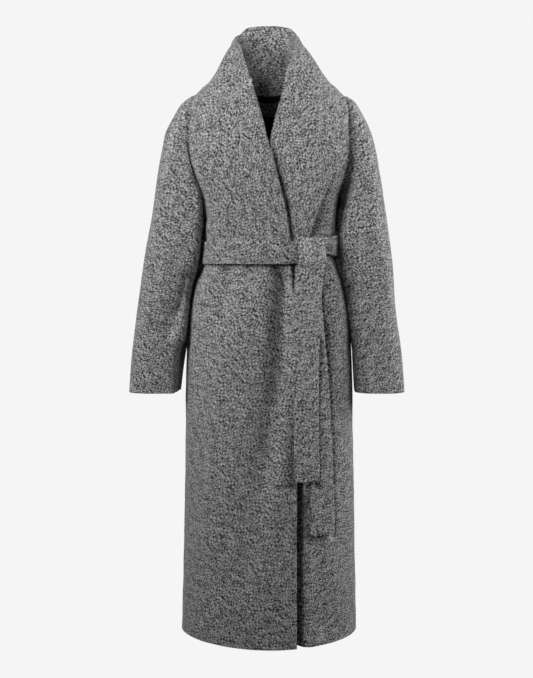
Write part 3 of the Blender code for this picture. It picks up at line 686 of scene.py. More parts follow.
LAPEL = table(
    "roll_x roll_z edge_x edge_z side_z",
    [
        (-0.0290, -0.0270, 0.1569, -0.0352, -0.0644),
        (-0.0165, -0.0690, 0.1591, -0.0664, -0.0986),
        (-0.0070, -0.1050, 0.1572, -0.0967, -0.1280),
        (0.0036, -0.1476, 0.1456, -0.1378, -0.1623),
        (0.0155, -0.1904, 0.1329, -0.1800, -0.2016),
        (0.0255, -0.2312, 0.1172, -0.2214, -0.2371),
        (0.0345, -0.2710, 0.1024, -0.2648, -0.2757),
        (0.0405, -0.3314, 0.0827, -0.3282, -0.3314),
        (0.0420, -0.3575, 0.0788, -0.3575, -0.3575),
    ],
)
COLLAR_SECTIONS = len(COLLAR["neck_x"])
SHAWL_SECTIONS = COLLAR_SECTIONS + len(LAPEL["roll_x"])
FLARE = table(
    "height right left",
    [
        (0.000, 1.000, 1.000),
        (0.030, 0.990, 0.985),
        (0.050, 0.982, 0.958),
        (0.066, 0.971, 0.900),
        (0.080, 0.962, 0.876),
        (0.093, 0.978, 0.857),
        (0.106, 1.003, 0.859),
        (0.120, 1.010, 0.866),
        (0.150, 0.980, 0.890),
    ],
)
print("sections of the collar:", COLLAR_SECTIONS, "and of collar and lapel:", SHAWL_SECTIONS)

# %% [markdown]
# ## Collar and lapels: the points of each section
#
# Each section has six points: the seam, three round the roll, the wing and the edge. The seam
# must leave room for the cloth of the front that it is sewn to, so `seam_points` moves it out
# until the collar's wrong side just clears the front's edge.

# %% Points of the sections
LEFT_REACH = 0.0030  # the left lapel's roll lies this much further past the front's edge
STAND_SHARE = 0.4
SEAM_TURNS = 6
ROLL_TURNS = -45, 0, 45  # degrees round the roll


def seam_points(edge, normal, ahead):
    seam_way = unit(np.gradient(edge, axis=0))
    away = unit(np.cross(normal, seam_way))
    wrong_side = edge + COLLAR_GAP * away
    seam = wrong_side
    for _ in range(SEAM_TURNS):
        seam = wrong_side - CLOTH * unit(np.cross(seam_way, ahead - seam))
    return seam


def sections(side, creased):
    edges, normals, others = [], [], []
    for index, row in enumerate(zip(*COLLAR.values())):
        neck_x, neck_z, *rest, left_roll = row
        back_part = index < BACK_SECTIONS
        edges.append(lay(-neck_x, neck_z, back=back_part))
        normals.append(lay(-neck_x, neck_z, 1.0, back=back_part) - edges[-1])
        crest, wing, edge = np.array(rest).reshape(3, 3) * [-1, 1, 1]
        stand = edges[-1] - crest
        start = crest + unit(stand) * min(CREST_REACH, STAND_SHARE * np.linalg.norm(stand))
        end = crest + CREST_REACH * unit(wing - crest)
        section = np.array([start, crest, end, wing, edge])
        wider = follow(section[:, 2], FLARE["height"], FLARE["left" if side == LEFT else "right"])
        roll = left_roll if side == LEFT else 1.0
        section[:, 0] *= np.append([roll, roll, roll], wider[3:])
        others.append(section)
    radius = 0.5 * (LAPEL_LIFT + CLOTH)
    for roll_x, roll_z, edge_x, edge_z, _ in zip(*LAPEL.values()):
        body_x = roll_x - ROLL_REACH - COLLAR_GAP
        out = layer(side, body_x, roll_z, creased)
        edges.append(lay(body_x, roll_z, out))
        normals.append(lay(body_x, roll_z, out + 1.0) - edges[-1])
        turn = np.radians(ROLL_TURNS)
        reach = roll_x + (LEFT_REACH if side == LEFT else 0.0)
        x = np.append(reach - radius + radius * np.cos(turn), [0.5 * (roll_x - edge_x), -edge_x])
        z = np.array([roll_z, roll_z, roll_z, 0.5 * (roll_z + edge_z), edge_z])
        out = np.append(LAPEL_LIFT - radius + radius * np.sin(turn), [LAPEL_LIFT, LAPEL_LIFT])
        others.append(lay(x, z, layer(side, x, z, creased) + out))
    edges, normals, others = np.array(edges), unit(np.array(normals)), np.array(others)
    seam = seam_points(edges, normals, others[:, 0])
    seam[0, 0] = 0
    return np.concatenate([seam[:, None], others], axis=1)


print("points of the right collar half:", sections(RIGHT, True).shape[:2], "sections and points in each")

# %% [markdown]
# ## Collar and lapels: from sections to a surface
#
# A first smooth curve runs along each line of points, from the middle of the back to the lapel's
# foot, and a second one across the section that this gives. The lengths between a section's
# points differ from place to place, so `follow_each` takes knots of its own for each point.
# Where the lapel lies on the chest it takes the front's own surface, moved out.

# %% Collar surface
ACROSS = 12  # steps across a section
SECTION_MARKS = np.array([0, 2, 3, 4, 8, ACROSS]) / ACROSS  # where a section's points come


def follow_each(at, knots, values):
    """As follow, with knots and values of its own for each point."""
    slopes = np.empty_like(values)
    spans = np.diff(knots, axis=-1)[..., None]
    rates = np.diff(values, axis=-2) / spans
    before, after = spans[..., :-1, :], spans[..., 1:, :]
    slopes[..., 1:-1, :] = (rates[..., 1:, :] * before + rates[..., :-1, :] * after) / (before + after)
    slopes[..., 0, :], slopes[..., -1, :] = rates[..., 0, :], rates[..., -1, :]
    low = np.clip((knots <= at[..., None]).sum(axis=-1) - 1, 0, knots.shape[-1] - 2)

    def pick(of, index):
        return np.take_along_axis(of, index[..., None, None], axis=-2)[..., 0, :]

    first = np.take_along_axis(knots, low[..., None], axis=-1)
    step = np.take_along_axis(knots, low[..., None] + 1, axis=-1) - first
    t = (at[..., None] - first) / step
    start = pick(values, low) * (1 + 2 * t) * (1 - t) ** 2 + pick(slopes, low) * step * t * (1 - t) ** 2
    end = pick(values, low + 1) * t**2 * (3 - 2 * t) + pick(slopes, low + 1) * step * t**2 * (t - 1)
    return start + end


MIDDLE_OVERLAP = 0.05  # of a section: how far each half runs past the middle of the back
EDGE_LIFT_START = 0.55  # of a section: from here to the free edge it lifts off or lies closer
EDGE_LIFT = table(
    "height right left",
    [
        (-0.340, -0.0012, 0.0005),
        (-0.315, -0.0008, 0.0040),
        (-0.270, -0.0008, 0.0075),
        (-0.220, -0.0012, 0.0060),
        (-0.180, -0.0012, 0.0025),
        (-0.130, -0.0012, 0.0018),
        (-0.080, -0.0012, 0.0022),
    ],
)


def shawl(side, along, across, creased=True):
    net = sections(side, creased)
    mirrored = net[1:2] * [-1, 1, 1]
    place = along * (SHAWL_SECTIONS - 1 + MIDDLE_OVERLAP) - MIDDLE_OVERLAP
    section = follow(place, np.arange(-1, SHAWL_SECTIONS), np.concatenate([mirrored, net]))
    spans = np.linalg.norm(np.diff(section, axis=-2), axis=-1)
    knots = np.concatenate([np.zeros(along.shape + (1,)), np.cumsum(spans, axis=-1)], axis=-1)
    last_mark = len(SECTION_MARKS) - 2
    mark = np.clip(np.searchsorted(SECTION_MARKS, across, side="right") - 1, 0, last_mark)
    share = (across - SECTION_MARKS[mark]) / np.diff(SECTION_MARKS)[mark]
    low = np.take_along_axis(knots, mark[..., None], axis=-1)[..., 0]
    high = np.take_along_axis(knots, mark[..., None] + 1, axis=-1)[..., 0]
    points = follow_each(low + share * (high - low), knots, section)
    x, z = points[..., 0], points[..., 2]
    lift = follow(z, EDGE_LIFT["height"], EDGE_LIFT["left" if side == LEFT else "right"])
    lift = lift * ease(across, EDGE_LIFT_START, 1.0)
    laid = lay(x, z, layer(side, x, z, creased) + LAPEL_LIFT + lift)
    lying = ease(place, COLLAR_SECTIONS - 1, COLLAR_SECTIONS + 1)
    lying = lying * ease(across, SECTION_MARKS[3], SECTION_MARKS[3] + 1 / ACROSS)
    points += lying[..., None] * (laid - points)
    points[..., 0] -= SEAM / 2
    points[..., 0] *= -side
    return points


edge_top = shawl(RIGHT, np.zeros(1), np.ones(1))[0]
print("the collar's edge at the middle of the back:", edge_top.round(3))

# %% [markdown]
# ## Collar and lapels: creases
#
# A few soft creases run over the wings, and inside the back the collar is hollowed where it turns
# from its back to its sides. A shallow valley marks the seam in the middle. The pattern is found
# from the smooth surface, and the creased one takes its place afterwards.

# %% Make the collar
COLLAR_CREASES = table(
    CREASE,
    [
        (-0.0945, 0.0465, -0.1040, 0.0230, -0.1094, -0.0048, 0.007, 0.010, 0.0022),
        (-0.0800, 0.0500, -0.0890, 0.0200, -0.0930, -0.0100, 0.006, 0.009, -0.0018),
        (0.1015, 0.0200, 0.1000, 0.0030, 0.0970, -0.0200, 0.006, 0.008, -0.0028),
        (0.0900, 0.0350, 0.0860, 0.0100, 0.0800, -0.0250, 0.007, 0.010, 0.0016),
        (-0.1250, -0.0750, -0.0850, -0.0900, -0.0450, -0.1000, 0.014, 0.020, -0.0014),
        (0.0400, -0.1500, 0.0700, -0.1380, 0.1050, -0.1400, 0.012, 0.016, -0.0014),
    ],
)
COLLAR_HOLLOWS = table(
    CREASE,
    [
        # Two hollows at the sides of the inside back, and a low swell between them.
        (-0.0560, 0.135, -0.0440, 0.070, -0.0300, 0.010, 0.012, 0.014, -0.0280),
        (0.0360, 0.140, 0.0270, 0.098, 0.0240, 0.040, 0.006, 0.012, -0.0240),
        (0.0000, 0.140, 0.0000, 0.100, 0.0000, 0.040, 0.022, 0.016, 0.0060),
    ],
)


MIDDLE_DEPTH, MIDDLE_WIDTH = 0.0016, 0.0045  # of the valley at the seam in the middle
MIDDLE_START = -0.02, 0.0  # it comes up between these heights
COLLAR_SIZE = 0.75, 0.23  # length and width of one half, roughly
COLLAR_WAVE = 0.0010
WING_START = SECTION_MARKS[3], SECTION_MARKS[3] + 0.1
BEHIND_NECK = 0.02, 0.05  # the hollows come up over this much depth
INSIDE_START = 0.10, 0.30  # and over this much of a section


def collar_relief(across, along, laid):
    x, y, z = laid.T
    middle = MIDDLE_DEPTH * np.exp(-((x / MIDDLE_WIDTH) ** 2)) * ease(z, *MIDDLE_START)
    slow = COLLAR_WAVE * uneven(along * COLLAR_SIZE[0], across * COLLAR_SIZE[1], size=0.09, seed=7)
    wing = ease(across, *WING_START) * (press(x, z, COLLAR_CREASES) + slow)
    inside = ease(y, *BEHIND_NECK) * ease(across, *INSIDE_START) * press(x, z, COLLAR_HOLLOWS)
    return wing + inside - middle


for side, name in ((RIGHT, "right"), (LEFT, "left")):
    cloth(
        f"collar_{name}",
        lambda u, v: shawl(side, u, v, creased=False),
        grid=(240, 84),
        turned=side == RIGHT,
        creased=lambda u, v: shawl(side, u, v),
        relief=collar_relief,
    )

# %% [markdown]
# ## Fronts
#
# A front runs from the hem to the shoulder seam, and from the side seam to its own edge. Below
# the belt that edge hangs straight, past the middle. Above it the edge follows the lapel, whose
# seam it carries. One could cut that outline out of a larger sheet, but the cut would run across
# the grid's faces and leave a ragged edge. Here the grid itself is laid between the edges, so its
# outer points are the edges. `front_rings` lists how high each ring starts at the side seam and
# where it ends, and the grid's rows run between them.

# %% Fronts
FRONT_EDGE = 0.0585  # how far past the middle it hangs below the belt
SKIRT = table(
    "row height",
    [
        (0, -1.196),
        (4, -0.978),
        (8, -0.752),
        (12, -0.550),
        (14, -0.470),
        (15, -0.432),
        (16, -0.403),
        (17, -0.382),
    ],
)
NECK_RINGS = COLLAR_SECTIONS - BACK_SECTIONS
ROWS_EACH = 2  # the grid's rows for each ring at the neck
FRONT_ROWS = int(SKIRT["row"][-1]) + len(LAPEL["roll_x"]) + ROWS_EACH * NECK_RINGS


def front_rings():
    rings = [(row, height, FRONT_EDGE, height) for row, height in zip(*SKIRT.values())]
    for roll_x, roll_z, _, _, side_z in reversed(list(zip(*LAPEL.values()))):
        rings.append((rings[-1][0] + 1, side_z, roll_x - ROLL_REACH - COLLAR_GAP, roll_z))
    chest_z = rings[-1][1]
    for ring in range(1, NECK_RINGS + 2):
        section = COLLAR_SECTIONS - ring
        side_z = chest_z + (SHOULDER_TIP_HEIGHT - chest_z) * ring / NECK_RINGS
        neck_x, neck_z = COLLAR["neck_x"][section], COLLAR["neck_z"][section]
        rings.append((rings[-1][0] + ROWS_EACH, side_z, -neck_x, neck_z))
    return np.array(rings).T


def front(side, across, up, creased=True):
    row, side_z, edge_x, edge_z = front_rings()
    rings = np.arange(len(row))
    place = np.interp(up * FRONT_ROWS, row, rings)
    start_z = np.minimum(follow(place, rings, side_z), SHOULDER_TIP_HEIGHT)
    stop_z = follow(place, rings, edge_z)
    stop_x = follow(place, rings, edge_x)
    start_x = -np.where(start_z > ARMHOLE_BOTTOM, armhole(start_z), half_width(start_z))
    start_turn = np.arcsin(np.clip(start_x / half_width(start_z), -1, 1))
    stop_turn = np.arcsin(stop_x / half_width(stop_z))
    turn = np.sin(start_turn + (stop_turn - start_turn) * across)
    share = (turn - np.sin(start_turn)) / (np.sin(stop_turn) - np.sin(start_turn))
    x = start_x + (stop_x - start_x) * share
    z = start_z + (stop_z - start_z) * share
    z = np.minimum(z, ridge(x))
    out = layer(side, x, z, creased)
    if creased and side == LEFT:
        out = out + press_along(-x, z, LAPEL_SHADE)
    points = lay(x, z, out)
    points[..., 1] -= SEAM / 2
    points[..., 0] *= -side
    return points


for side, name in ((RIGHT, "right"), (LEFT, "left")):
    cloth(
        f"coat_front_{name}",
        lambda u, v: front(side, u, v, creased=False),
        grid=(110, 290),
        turned=side == LEFT,
        creased=lambda u, v: front(side, u, v),
    )

# %% [markdown]
# ## Back
#
# The back is one piece from side seam to side seam. It could be made as two mirrored halves, but
# a plain back has no seam in its middle, and its folds differ from side to side. Its top edge is
# the two shoulder seams with the neckline between them, so its upper rings take that shape little
# by little.

# %% Back
BACK_CORNER = 0.5  # the share of the grid's half width at which the neckline ends
BACK_UPPER = table(
    "row height neck_share",
    [
        (18, -0.3575, 0.00),
        (19, -0.3314, 0.00),
        (20, -0.2850, 0.00),
        (21, -0.2371, 0.05),
        (23, -0.1770, 0.25),
        (26, -0.0940, 0.60),
        (28, -0.0450, 0.88),
        (29, SHOULDER_TIP_HEIGHT, 1.00),
    ],
)
BACK_ROWS = int(BACK_UPPER["row"][-1])


def back_top(x):
    neck = slice(0, BACK_SECTIONS + 1)
    inside = np.abs(x) < NECK_SIDE
    curve = follow(np.abs(x), COLLAR["neck_x"][neck], COLLAR["neck_z"][neck])
    return np.where(inside, curve, ridge(x))


def back(across, up, creased=True):
    rows = np.append(SKIRT["row"], BACK_UPPER["row"])
    heights = np.append(SKIRT["height"], BACK_UPPER["height"])
    side_z = follow(up * BACK_ROWS, rows, heights)
    share = follow(up * BACK_ROWS, BACK_UPPER["row"], BACK_UPPER["neck_share"])
    reach = np.where(side_z > ARMHOLE_BOTTOM, armhole(side_z), half_width(side_z))
    away = np.abs(2 * across - 1)
    turn = np.arcsin(np.clip(reach / half_width(side_z), -1, 1))
    round_share = np.sin(turn * away) / np.sin(turn)
    neck = NECK_SIDE / SHOULDER_TIP
    top_share = np.interp(away, [0, BACK_CORNER, 1], [0, neck, 1])
    x = np.sign(across - 0.5) * reach * (round_share + share * (top_share - round_share))
    z = side_z + share * (back_top(x) - SHOULDER_TIP_HEIGHT)
    points = lay(x, z, back_relief(x, z) if creased else 0.0, back=True)
    points[..., 1] += SEAM / 2
    return points


cloth("coat_back", lambda u, v: back(u, v, creased=False), grid=(130, 250), turned=True, creased=back)

# %% [markdown]
# ## Sleeves: the tube
#
# A sleeve is a tube that hangs from the shoulder and bends a little at the elbow. A cylinder
# could be bent along a curve, but each of its rings would stay round. Here a table gives the
# tube's outer and inner side at each ring, as seen from the front, its half depth, how far
# forward it hangs, and how far it is tucked in behind the body, because a heavy sleeve rests
# against the coat's side. By a second table the left sleeve is a little slimmer at the elbow and
# leans in towards the cuff. `beside_body` moves points out until they are just clear of the
# coat's side and of the belt.

# %% Sleeve rings
SLEEVE_GAP = 0.0018
SLEEVE = table(
    "outer_x outer_z inner_x inner_z half_depth forward tuck",
    [
        (0.1608, -0.0161, 0.1502, -0.2371, 0.060, 0.000, 0.000),
        (0.1787, -0.0273, 0.1508, -0.2411, 0.062, 0.001, 0.000),
        (0.1941, -0.0448, 0.1518, -0.2470, 0.064, 0.002, 0.005),
        (0.2095, -0.0702, 0.1535, -0.2549, 0.066, 0.004, 0.011),
        (0.2246, -0.1044, 0.1545, -0.2668, 0.067, 0.006, 0.026),
        (0.2358, -0.1564, 0.1540, -0.2885, 0.067, 0.008, 0.035),
        (0.2473, -0.2253, 0.1545, -0.3252, 0.066, 0.010, 0.038),
        (0.2588, -0.2955, 0.1590, -0.3650, 0.064, 0.011, 0.038),
        (0.2703, -0.3650, 0.1660, -0.4048, 0.061, 0.012, 0.038),
        (0.2819, -0.4357, 0.1765, -0.4557, 0.058, 0.013, 0.030),
        (0.2915, -0.5058, 0.1825, -0.5159, 0.055, 0.015, 0.016),
        (0.3012, -0.5762, 0.1885, -0.5782, 0.051, 0.018, 0.006),
        (0.3065, -0.6605, 0.1950, -0.6605, 0.047, 0.022, 0.000),
    ],
)
SLEEVE_RINGS = len(SLEEVE["outer_x"])
LEAN = table(
    "down outer inner",
    [
        (0.00, 0.0000, 0.0000),
        (0.12, -0.0010, 0.0020),
        (0.25, -0.0027, 0.0060),
        (0.40, -0.0020, 0.0090),
        (0.50, -0.0005, 0.0085),
        (0.60, -0.0020, 0.0055),
        (0.68, -0.0046, 0.0020),
        (0.78, -0.0106, -0.0020),
        (0.90, -0.0120, -0.0050),
        (1.00, -0.0100, -0.0075),
    ],
)
SLEEVE_CLEAR = 0.0032
BELT_CLEAR = 0.0075
BELT_REACH = 0.034, 0.056  # this far above and below the belt's middle it starts and ends


def beside_body(x, y, z):
    near_belt = 1 - ease(np.abs(z - BELT_HEIGHT), *BELT_REACH)
    clear = SLEEVE_CLEAR + BELT_CLEAR * near_belt
    power = follow(z, BODY["height"], BODY["power"])
    before = follow(z, BODY["height"], BODY["front"])
    behind = follow(z, BODY["height"], BODY["back"])
    reach = np.where(y < 0, before, behind) + clear
    size = (np.abs(x / (half_width(z) + clear)) ** power + np.abs(y / reach) ** power) ** (1 / power)
    grow = np.maximum(1, 1 / size)
    return x * grow, y * grow


print("rings of a sleeve:", SLEEVE_RINGS, "from shoulder to cuff")

# %% [markdown]
# ## Sleeves: set into the armhole
#
# A set-in sleeve starts as the armhole's shape and turns into the arm's round tube over its first
# rings. A Boolean could join a tube to the body, but coat and sleeve are two pieces of cloth with
# a seam between them, so the sleeve's first ring is the armhole itself. The tube's section is a
# superellipse whose inner half has a power of its own. The right sleeve is tucked in less, lies
# closer to the body in its upper half, and fills out under the arm, level with the front.

# %% Lay a sleeve
CAP_RINGS = 6  # over these rings the armhole's shape turns into the tube
OUTER_POWER = 2.5
INNER_POWER = 7.0, 2.9  # of the right and the left sleeve
RIGHT_TUCK = 0.6  # the right sleeve has this share of the table's tuck
RIGHT_INWARD = 0.004  # and lies this much closer to the body in its upper half
SEAM_TUCK = 0.0012, 0.0040  # of the right and the left sleeve
SEAM_RUN = 0.35  # rings over which the seam's tuck fades
RIGHT_BULGE = 0.010, 0.014  # towards the body and forwards
BULGE_RINGS = 3, 7  # it fades out over these rings
BULGE_HEIGHTS = -0.220, -0.100  # and up the armhole between these heights
CLEAR_RUN = 0.012  # below the armhole's lowest point the sleeve comes clear over this height


def sleeve(side, around, down):
    place = down * (SLEEVE_RINGS - 1)
    column = {name: follow(place, np.arange(SLEEVE_RINGS), SLEEVE[name]) for name in SLEEVE}
    first = {name: SLEEVE[name][0] for name in SLEEVE}
    turn = 2 * np.pi * around
    power = np.where(np.cos(turn) > 0, OUTER_POWER, INNER_POWER[int(side == LEFT)])
    ways = np.cos(turn), np.sin(turn)
    over, forward = (np.sign(way) * np.abs(way) ** (2 / power) for way in ways)
    if side == RIGHT:
        column["tuck"] = column["tuck"] * RIGHT_TUCK
        column["inner_x"] = column["inner_x"] - RIGHT_INWARD * np.sin(np.pi * np.clip(2 * down, 0, 1))
    if side == LEFT:
        column["outer_x"] = column["outer_x"] + follow(down, LEAN["down"], LEAN["outer"])
        column["inner_x"] = column["inner_x"] + follow(down, LEAN["down"], LEAN["inner"])
    inward = (0.5 - (over + forward) / np.sqrt(8)) ** 2

    def ring(of):
        x = 0.5 * (of["outer_x"] + of["inner_x"]) + 0.5 * (of["outer_x"] - of["inner_x"]) * over
        z = 0.5 * (of["outer_z"] + of["inner_z"]) + 0.5 * (of["outer_z"] - of["inner_z"]) * over
        y = -of["forward"] - of["half_depth"] * forward
        return x - of["tuck"] * inward, y, z

    hole_z = ring(first)[2]
    hole_x = armhole(hole_z)
    before = -depth(hole_x, hole_z)
    behind = depth(hole_x, hole_z, back=True)
    sewn = 1 - ease(place, 0, SEAM_RUN)
    hole_x = hole_x + SLEEVE_GAP - (SLEEVE_GAP + SEAM_TUCK[int(side == LEFT)]) * sewn
    hole = np.stack([hole_x, np.where(forward > 0, before, behind), hole_z], axis=-1)
    cap = 0.5 + 0.5 * np.cos(np.pi * np.clip(place / CAP_RINGS, 0, 1))
    points = np.stack(ring(column), axis=-1)
    points += cap[..., None] * (hole - np.stack(ring(first), axis=-1))
    if side == RIGHT:
        filled = ease(place, 0, 1) * (1 - ease(place, *BULGE_RINGS))
        filled = filled * (1 - ease(hole_z, *BULGE_HEIGHTS)) * np.clip(forward, 0, 1)
        points[..., 0] -= RIGHT_BULGE[0] * filled
        points[..., 1] -= RIGHT_BULGE[1] * filled
    below = ease(ARMHOLE_BOTTOM - points[..., 2], 0.0, CLEAR_RUN)
    x, y = beside_body(*np.moveaxis(points, -1, 0))
    points[..., 0] += below * (x - points[..., 0])
    points[..., 1] += below * (y - points[..., 1])
    points[..., 0] *= side
    return points


cuff = sleeve(LEFT, np.array([0.0, 0.5]), np.ones(2))
print("the left cuff's outer and inner side:", cuff.round(3).tolist())

# %% [markdown]
# ## Sleeves: creases
#
# The front of each sleeve has its own creases, of which the fold at the right elbow is the
# deepest, and the backs of the elbows have soft rings. At its seam a sleeve is drawn in a little.

# %% Make the sleeves
SLEEVE_CREASES = table(
    CREASE,
    [
        # The wearer's right sleeve: soft rings under the arm, and the elbow's fold.
        (-0.2285, -0.262, -0.190, -0.267, -0.150, -0.262, 0.007, 0.006, 0.0014),
        (-0.2350, -0.300, -0.200, -0.305, -0.163, -0.298, 0.007, 0.006, -0.0016),
        (-0.1740, -0.415, -0.190, -0.472, -0.218, -0.524, 0.016, 0.016, -0.0135),
        (-0.2260, -0.528, -0.214, -0.555, -0.196, -0.582, 0.009, 0.010, -0.0050),
        (-0.2480, -0.490, -0.244, -0.530, -0.232, -0.560, 0.012, 0.012, 0.0035),
        (-0.1980, -0.500, -0.204, -0.530, -0.208, -0.545, 0.010, 0.010, 0.0015),
        (-0.1840, -0.560, -0.190, -0.600, -0.194, -0.660, 0.010, 0.012, -0.0090),
        (-0.2200, -0.130, -0.205, -0.160, -0.180, -0.180, 0.012, 0.014, -0.0016),
        # The wearer's left sleeve.
        (0.1730, -0.102, 0.185, -0.092, 0.197, -0.077, 0.0045, 0.006, -0.0026),
        (0.1800, -0.358, 0.186, -0.352, 0.196, -0.350, 0.005, 0.007, -0.0024),
        (0.1890, -0.545, 0.207, -0.550, 0.225, -0.551, 0.005, 0.006, -0.0018),
        (0.1800, -0.440, 0.205, -0.456, 0.230, -0.450, 0.010, 0.012, -0.0016),
        (0.2300, -0.180, 0.205, -0.210, 0.180, -0.220, 0.012, 0.014, -0.0014),
    ],
)
ELBOW_CREASES = table(
    CREASE,
    [
        (-0.1750, -0.330, -0.205, -0.352, -0.245, -0.345, 0.008, 0.010, -0.0026),
        (-0.1800, -0.380, -0.210, -0.395, -0.250, -0.380, 0.008, 0.010, -0.0022),
        (-0.1750, -0.240, -0.200, -0.225, -0.220, -0.190, 0.010, 0.012, -0.0018),
        (0.1750, -0.350, 0.205, -0.368, 0.245, -0.360, 0.008, 0.010, -0.0026),
        (0.1800, -0.410, 0.215, -0.420, 0.255, -0.400, 0.008, 0.010, -0.0020),
        (0.1730, -0.220, 0.195, -0.200, 0.215, -0.170, 0.010, 0.012, -0.0018),
    ],
)
SEWN_DEPTH = 0.0008, 0.0024  # how far the right and the left one are drawn in at the seam
SLEEVE_SIZE = 0.12, 0.65  # half width and length, roughly
SLEEVE_WAVE = 0.0010
FRONT_START = -0.25, 0.25  # between these the creases of the back give way to those of the front
CALM_RUN = 0.06  # of the sleeve's length: no creases this close to the armhole


def sleeve_relief(around, down, laid):
    x, _, z = laid.T
    on_left = int(x[0] > 0)
    ahead = ease(np.sin(2 * np.pi * around), *FRONT_START)
    creases = ahead * press(x, z, SLEEVE_CREASES) + (1 - ahead) * press(x, z, ELBOW_CREASES)
    ring = np.cos(2 * np.pi * around)
    swell = uneven(SLEEVE_SIZE[0] * ring, down * SLEEVE_SIZE[1], size=0.10, seed=8 + on_left)
    slow = SLEEVE_WAVE * swell
    sewn = 1 - ease(down * (SLEEVE_RINGS - 1), 0, SEAM_RUN)
    return ease(down, 0, CALM_RUN) * (creases + slow) - SEWN_DEPTH[on_left] * sewn


for side, name in ((RIGHT, "right"), (LEFT, "left")):
    cloth(
        f"coat_sleeve_{name}",
        lambda u, v: sleeve(side, u, v),
        grid=(96, 150),
        turned=side == RIGHT,
        closed=True,
        grain=-1,
        relief=sleeve_relief,
    )

# %% [markdown]
# ## Inside the neck
#
# Inside the back neck a tape covers the seam, then comes a facing of the coat's own wool, and
# below it the lining. They could be painted on the back, but each layer's edge casts a fine
# shade. So they are thin sheets on the wrong side of the back, and only as large as the open neck
# shows them.

# %% Facing, tape and lining
FACING_HEIGHT = 0.040
FACING_HALF_WIDTH = 0.050
TAPE_SHARE = 0.25  # of the facing's height
TAPE_RISE = 0.0025  # the tape's top lies this far above the neckline
TRIM_EDGE = 0.0004  # how far the cut edges are rounded
LINING_HALF_WIDTH = 0.064
LINING_BOTTOM = -0.212
TRIM_GAP = 0.0015  # between them and the wool of the back


def inside_back(x, z, layers):
    out = back_relief(x, z) - CLOTH - TRIM_GAP - TRIM - (layers - 1) * (SEAM + TRIM)
    return lay(x, z, out, back=True)


def neck_facing(across, up):
    x = (2 * across - 1) * FACING_HALF_WIDTH
    return inside_back(x, back_top(x) - FACING_HEIGHT * (1 - up), 1)


def neck_tape(across, up):
    x = (2 * across - 1) * FACING_HALF_WIDTH
    height = TAPE_RISE + FACING_HEIGHT * TAPE_SHARE
    return inside_back(x, back_top(x) + TAPE_RISE - height * (1 - up), 2)


def lining(across, up):
    x = (2 * across - 1) * LINING_HALF_WIDTH
    neck = np.minimum(np.abs(x), FACING_HALF_WIDTH)
    top = back_top(neck) - FACING_HEIGHT - 2 * SEAM
    return inside_back(x, LINING_BOTTOM + (top - LINING_BOTTOM) * up, 1)


cloth("facing", neck_facing, grid=(40, 16), wall=TRIM, edge=TRIM_EDGE)
cloth("tape", neck_tape, grid=(60, 8), wall=TRIM, edge=TRIM_EDGE)
cloth("back_lining", lining, grid=(48, 60), wall=TRIM, edge=TRIM_EDGE)

# %% [markdown]
# ## Belt: round the waist
#
# The belt goes once round the waist and is tied at one side. A strip could be wrapped round the
# body by a Shrinkwrap modifier, but that would lay it flat on every fold. A real belt is tight
# and runs across them. So its stretch round the body is listed by how far round it is, with its
# height, how far out it lies and its width. Near the knot it is narrower and has pleats, because
# it is drawn together there.

# %% Belt round the waist
BELT_EDGE = 0.0014  # how far its cut edges are rounded
BELT = table(
    "turn height lift width",
    [
        (0.70, -0.3450, 0.0062, 0.034),
        (0.84, -0.3433, 0.0064, 0.030),
        (1.00, -0.3425, 0.0080, 0.036),
        (1.20, -0.3430, 0.0066, 0.044),
        (1.35, -0.3430, 0.0050, 0.049),
        (1.57, -0.3455, 0.0030, 0.049),
        (2.20, -0.3520, 0.0016, 0.049),
        (3.14, -0.3575, 0.0016, 0.049),
        (4.20, -0.3590, 0.0016, 0.049),
        (5.15, -0.3580, 0.0018, 0.049),
        (5.58, -0.3575, 0.0059, 0.049),
        (6.00, -0.3575, 0.0059, 0.049),
        (6.63, -0.3575, 0.0060, 0.047),
        (6.76, -0.3575, 0.0060, 0.044),
    ],
)


def belt_round(along, across):
    turn = BELT["turn"][0] + along * np.ptp(BELT["turn"])
    height = follow(turn, BELT["turn"], BELT["height"])
    width = follow(turn, BELT["turn"], BELT["width"])
    out = np.interp(turn, BELT["turn"], BELT["lift"]) + BELT_CLOTH
    z = height + (across - 0.5) * width
    x = half_width(z) * np.sin(turn)
    before = lay(x, z, out)
    behind = lay(x, z, out, back=True)
    return np.where((np.cos(turn) < 0)[..., None], behind, before)


DRAWN = 0.85, 1.35  # the pleats fade out between these turns
PLEAT_DEPTH = 0.0026
PLEATS = 1.6  # across the belt
PLEAT_SWAY, SWAY_WAVES, PLEAT_START = 0.12, 7, 0.1
BELT_BULGE = 0.0012
BELT_WAVE = 0.0009
BELT_SIZE = 0.8, 0.05  # length and width, roughly


def belt_relief(along, across, laid):
    """Pleats where the belt is drawn into the knot, and a soft bulge between its edges."""
    turn = BELT["turn"][0] + along * np.ptp(BELT["turn"])
    sway = PLEATS * across + PLEAT_SWAY * np.sin(SWAY_WAVES * turn) + PLEAT_START
    pleats = PLEAT_DEPTH * (1 - ease(turn, *DRAWN)) * np.cos(2 * np.pi * sway)
    bulge = BELT_BULGE * np.sin(np.pi * across)
    slow = BELT_WAVE * uneven(along * BELT_SIZE[0], across * BELT_SIZE[1], size=0.07, seed=11)
    return pleats + bulge + slow


cloth(
    "belt_waist",
    belt_round,
    grid=(320, 16),
    wall=BELT_CLOTH,
    edge=BELT_EDGE,
    strip=True,
    relief=belt_relief,
)

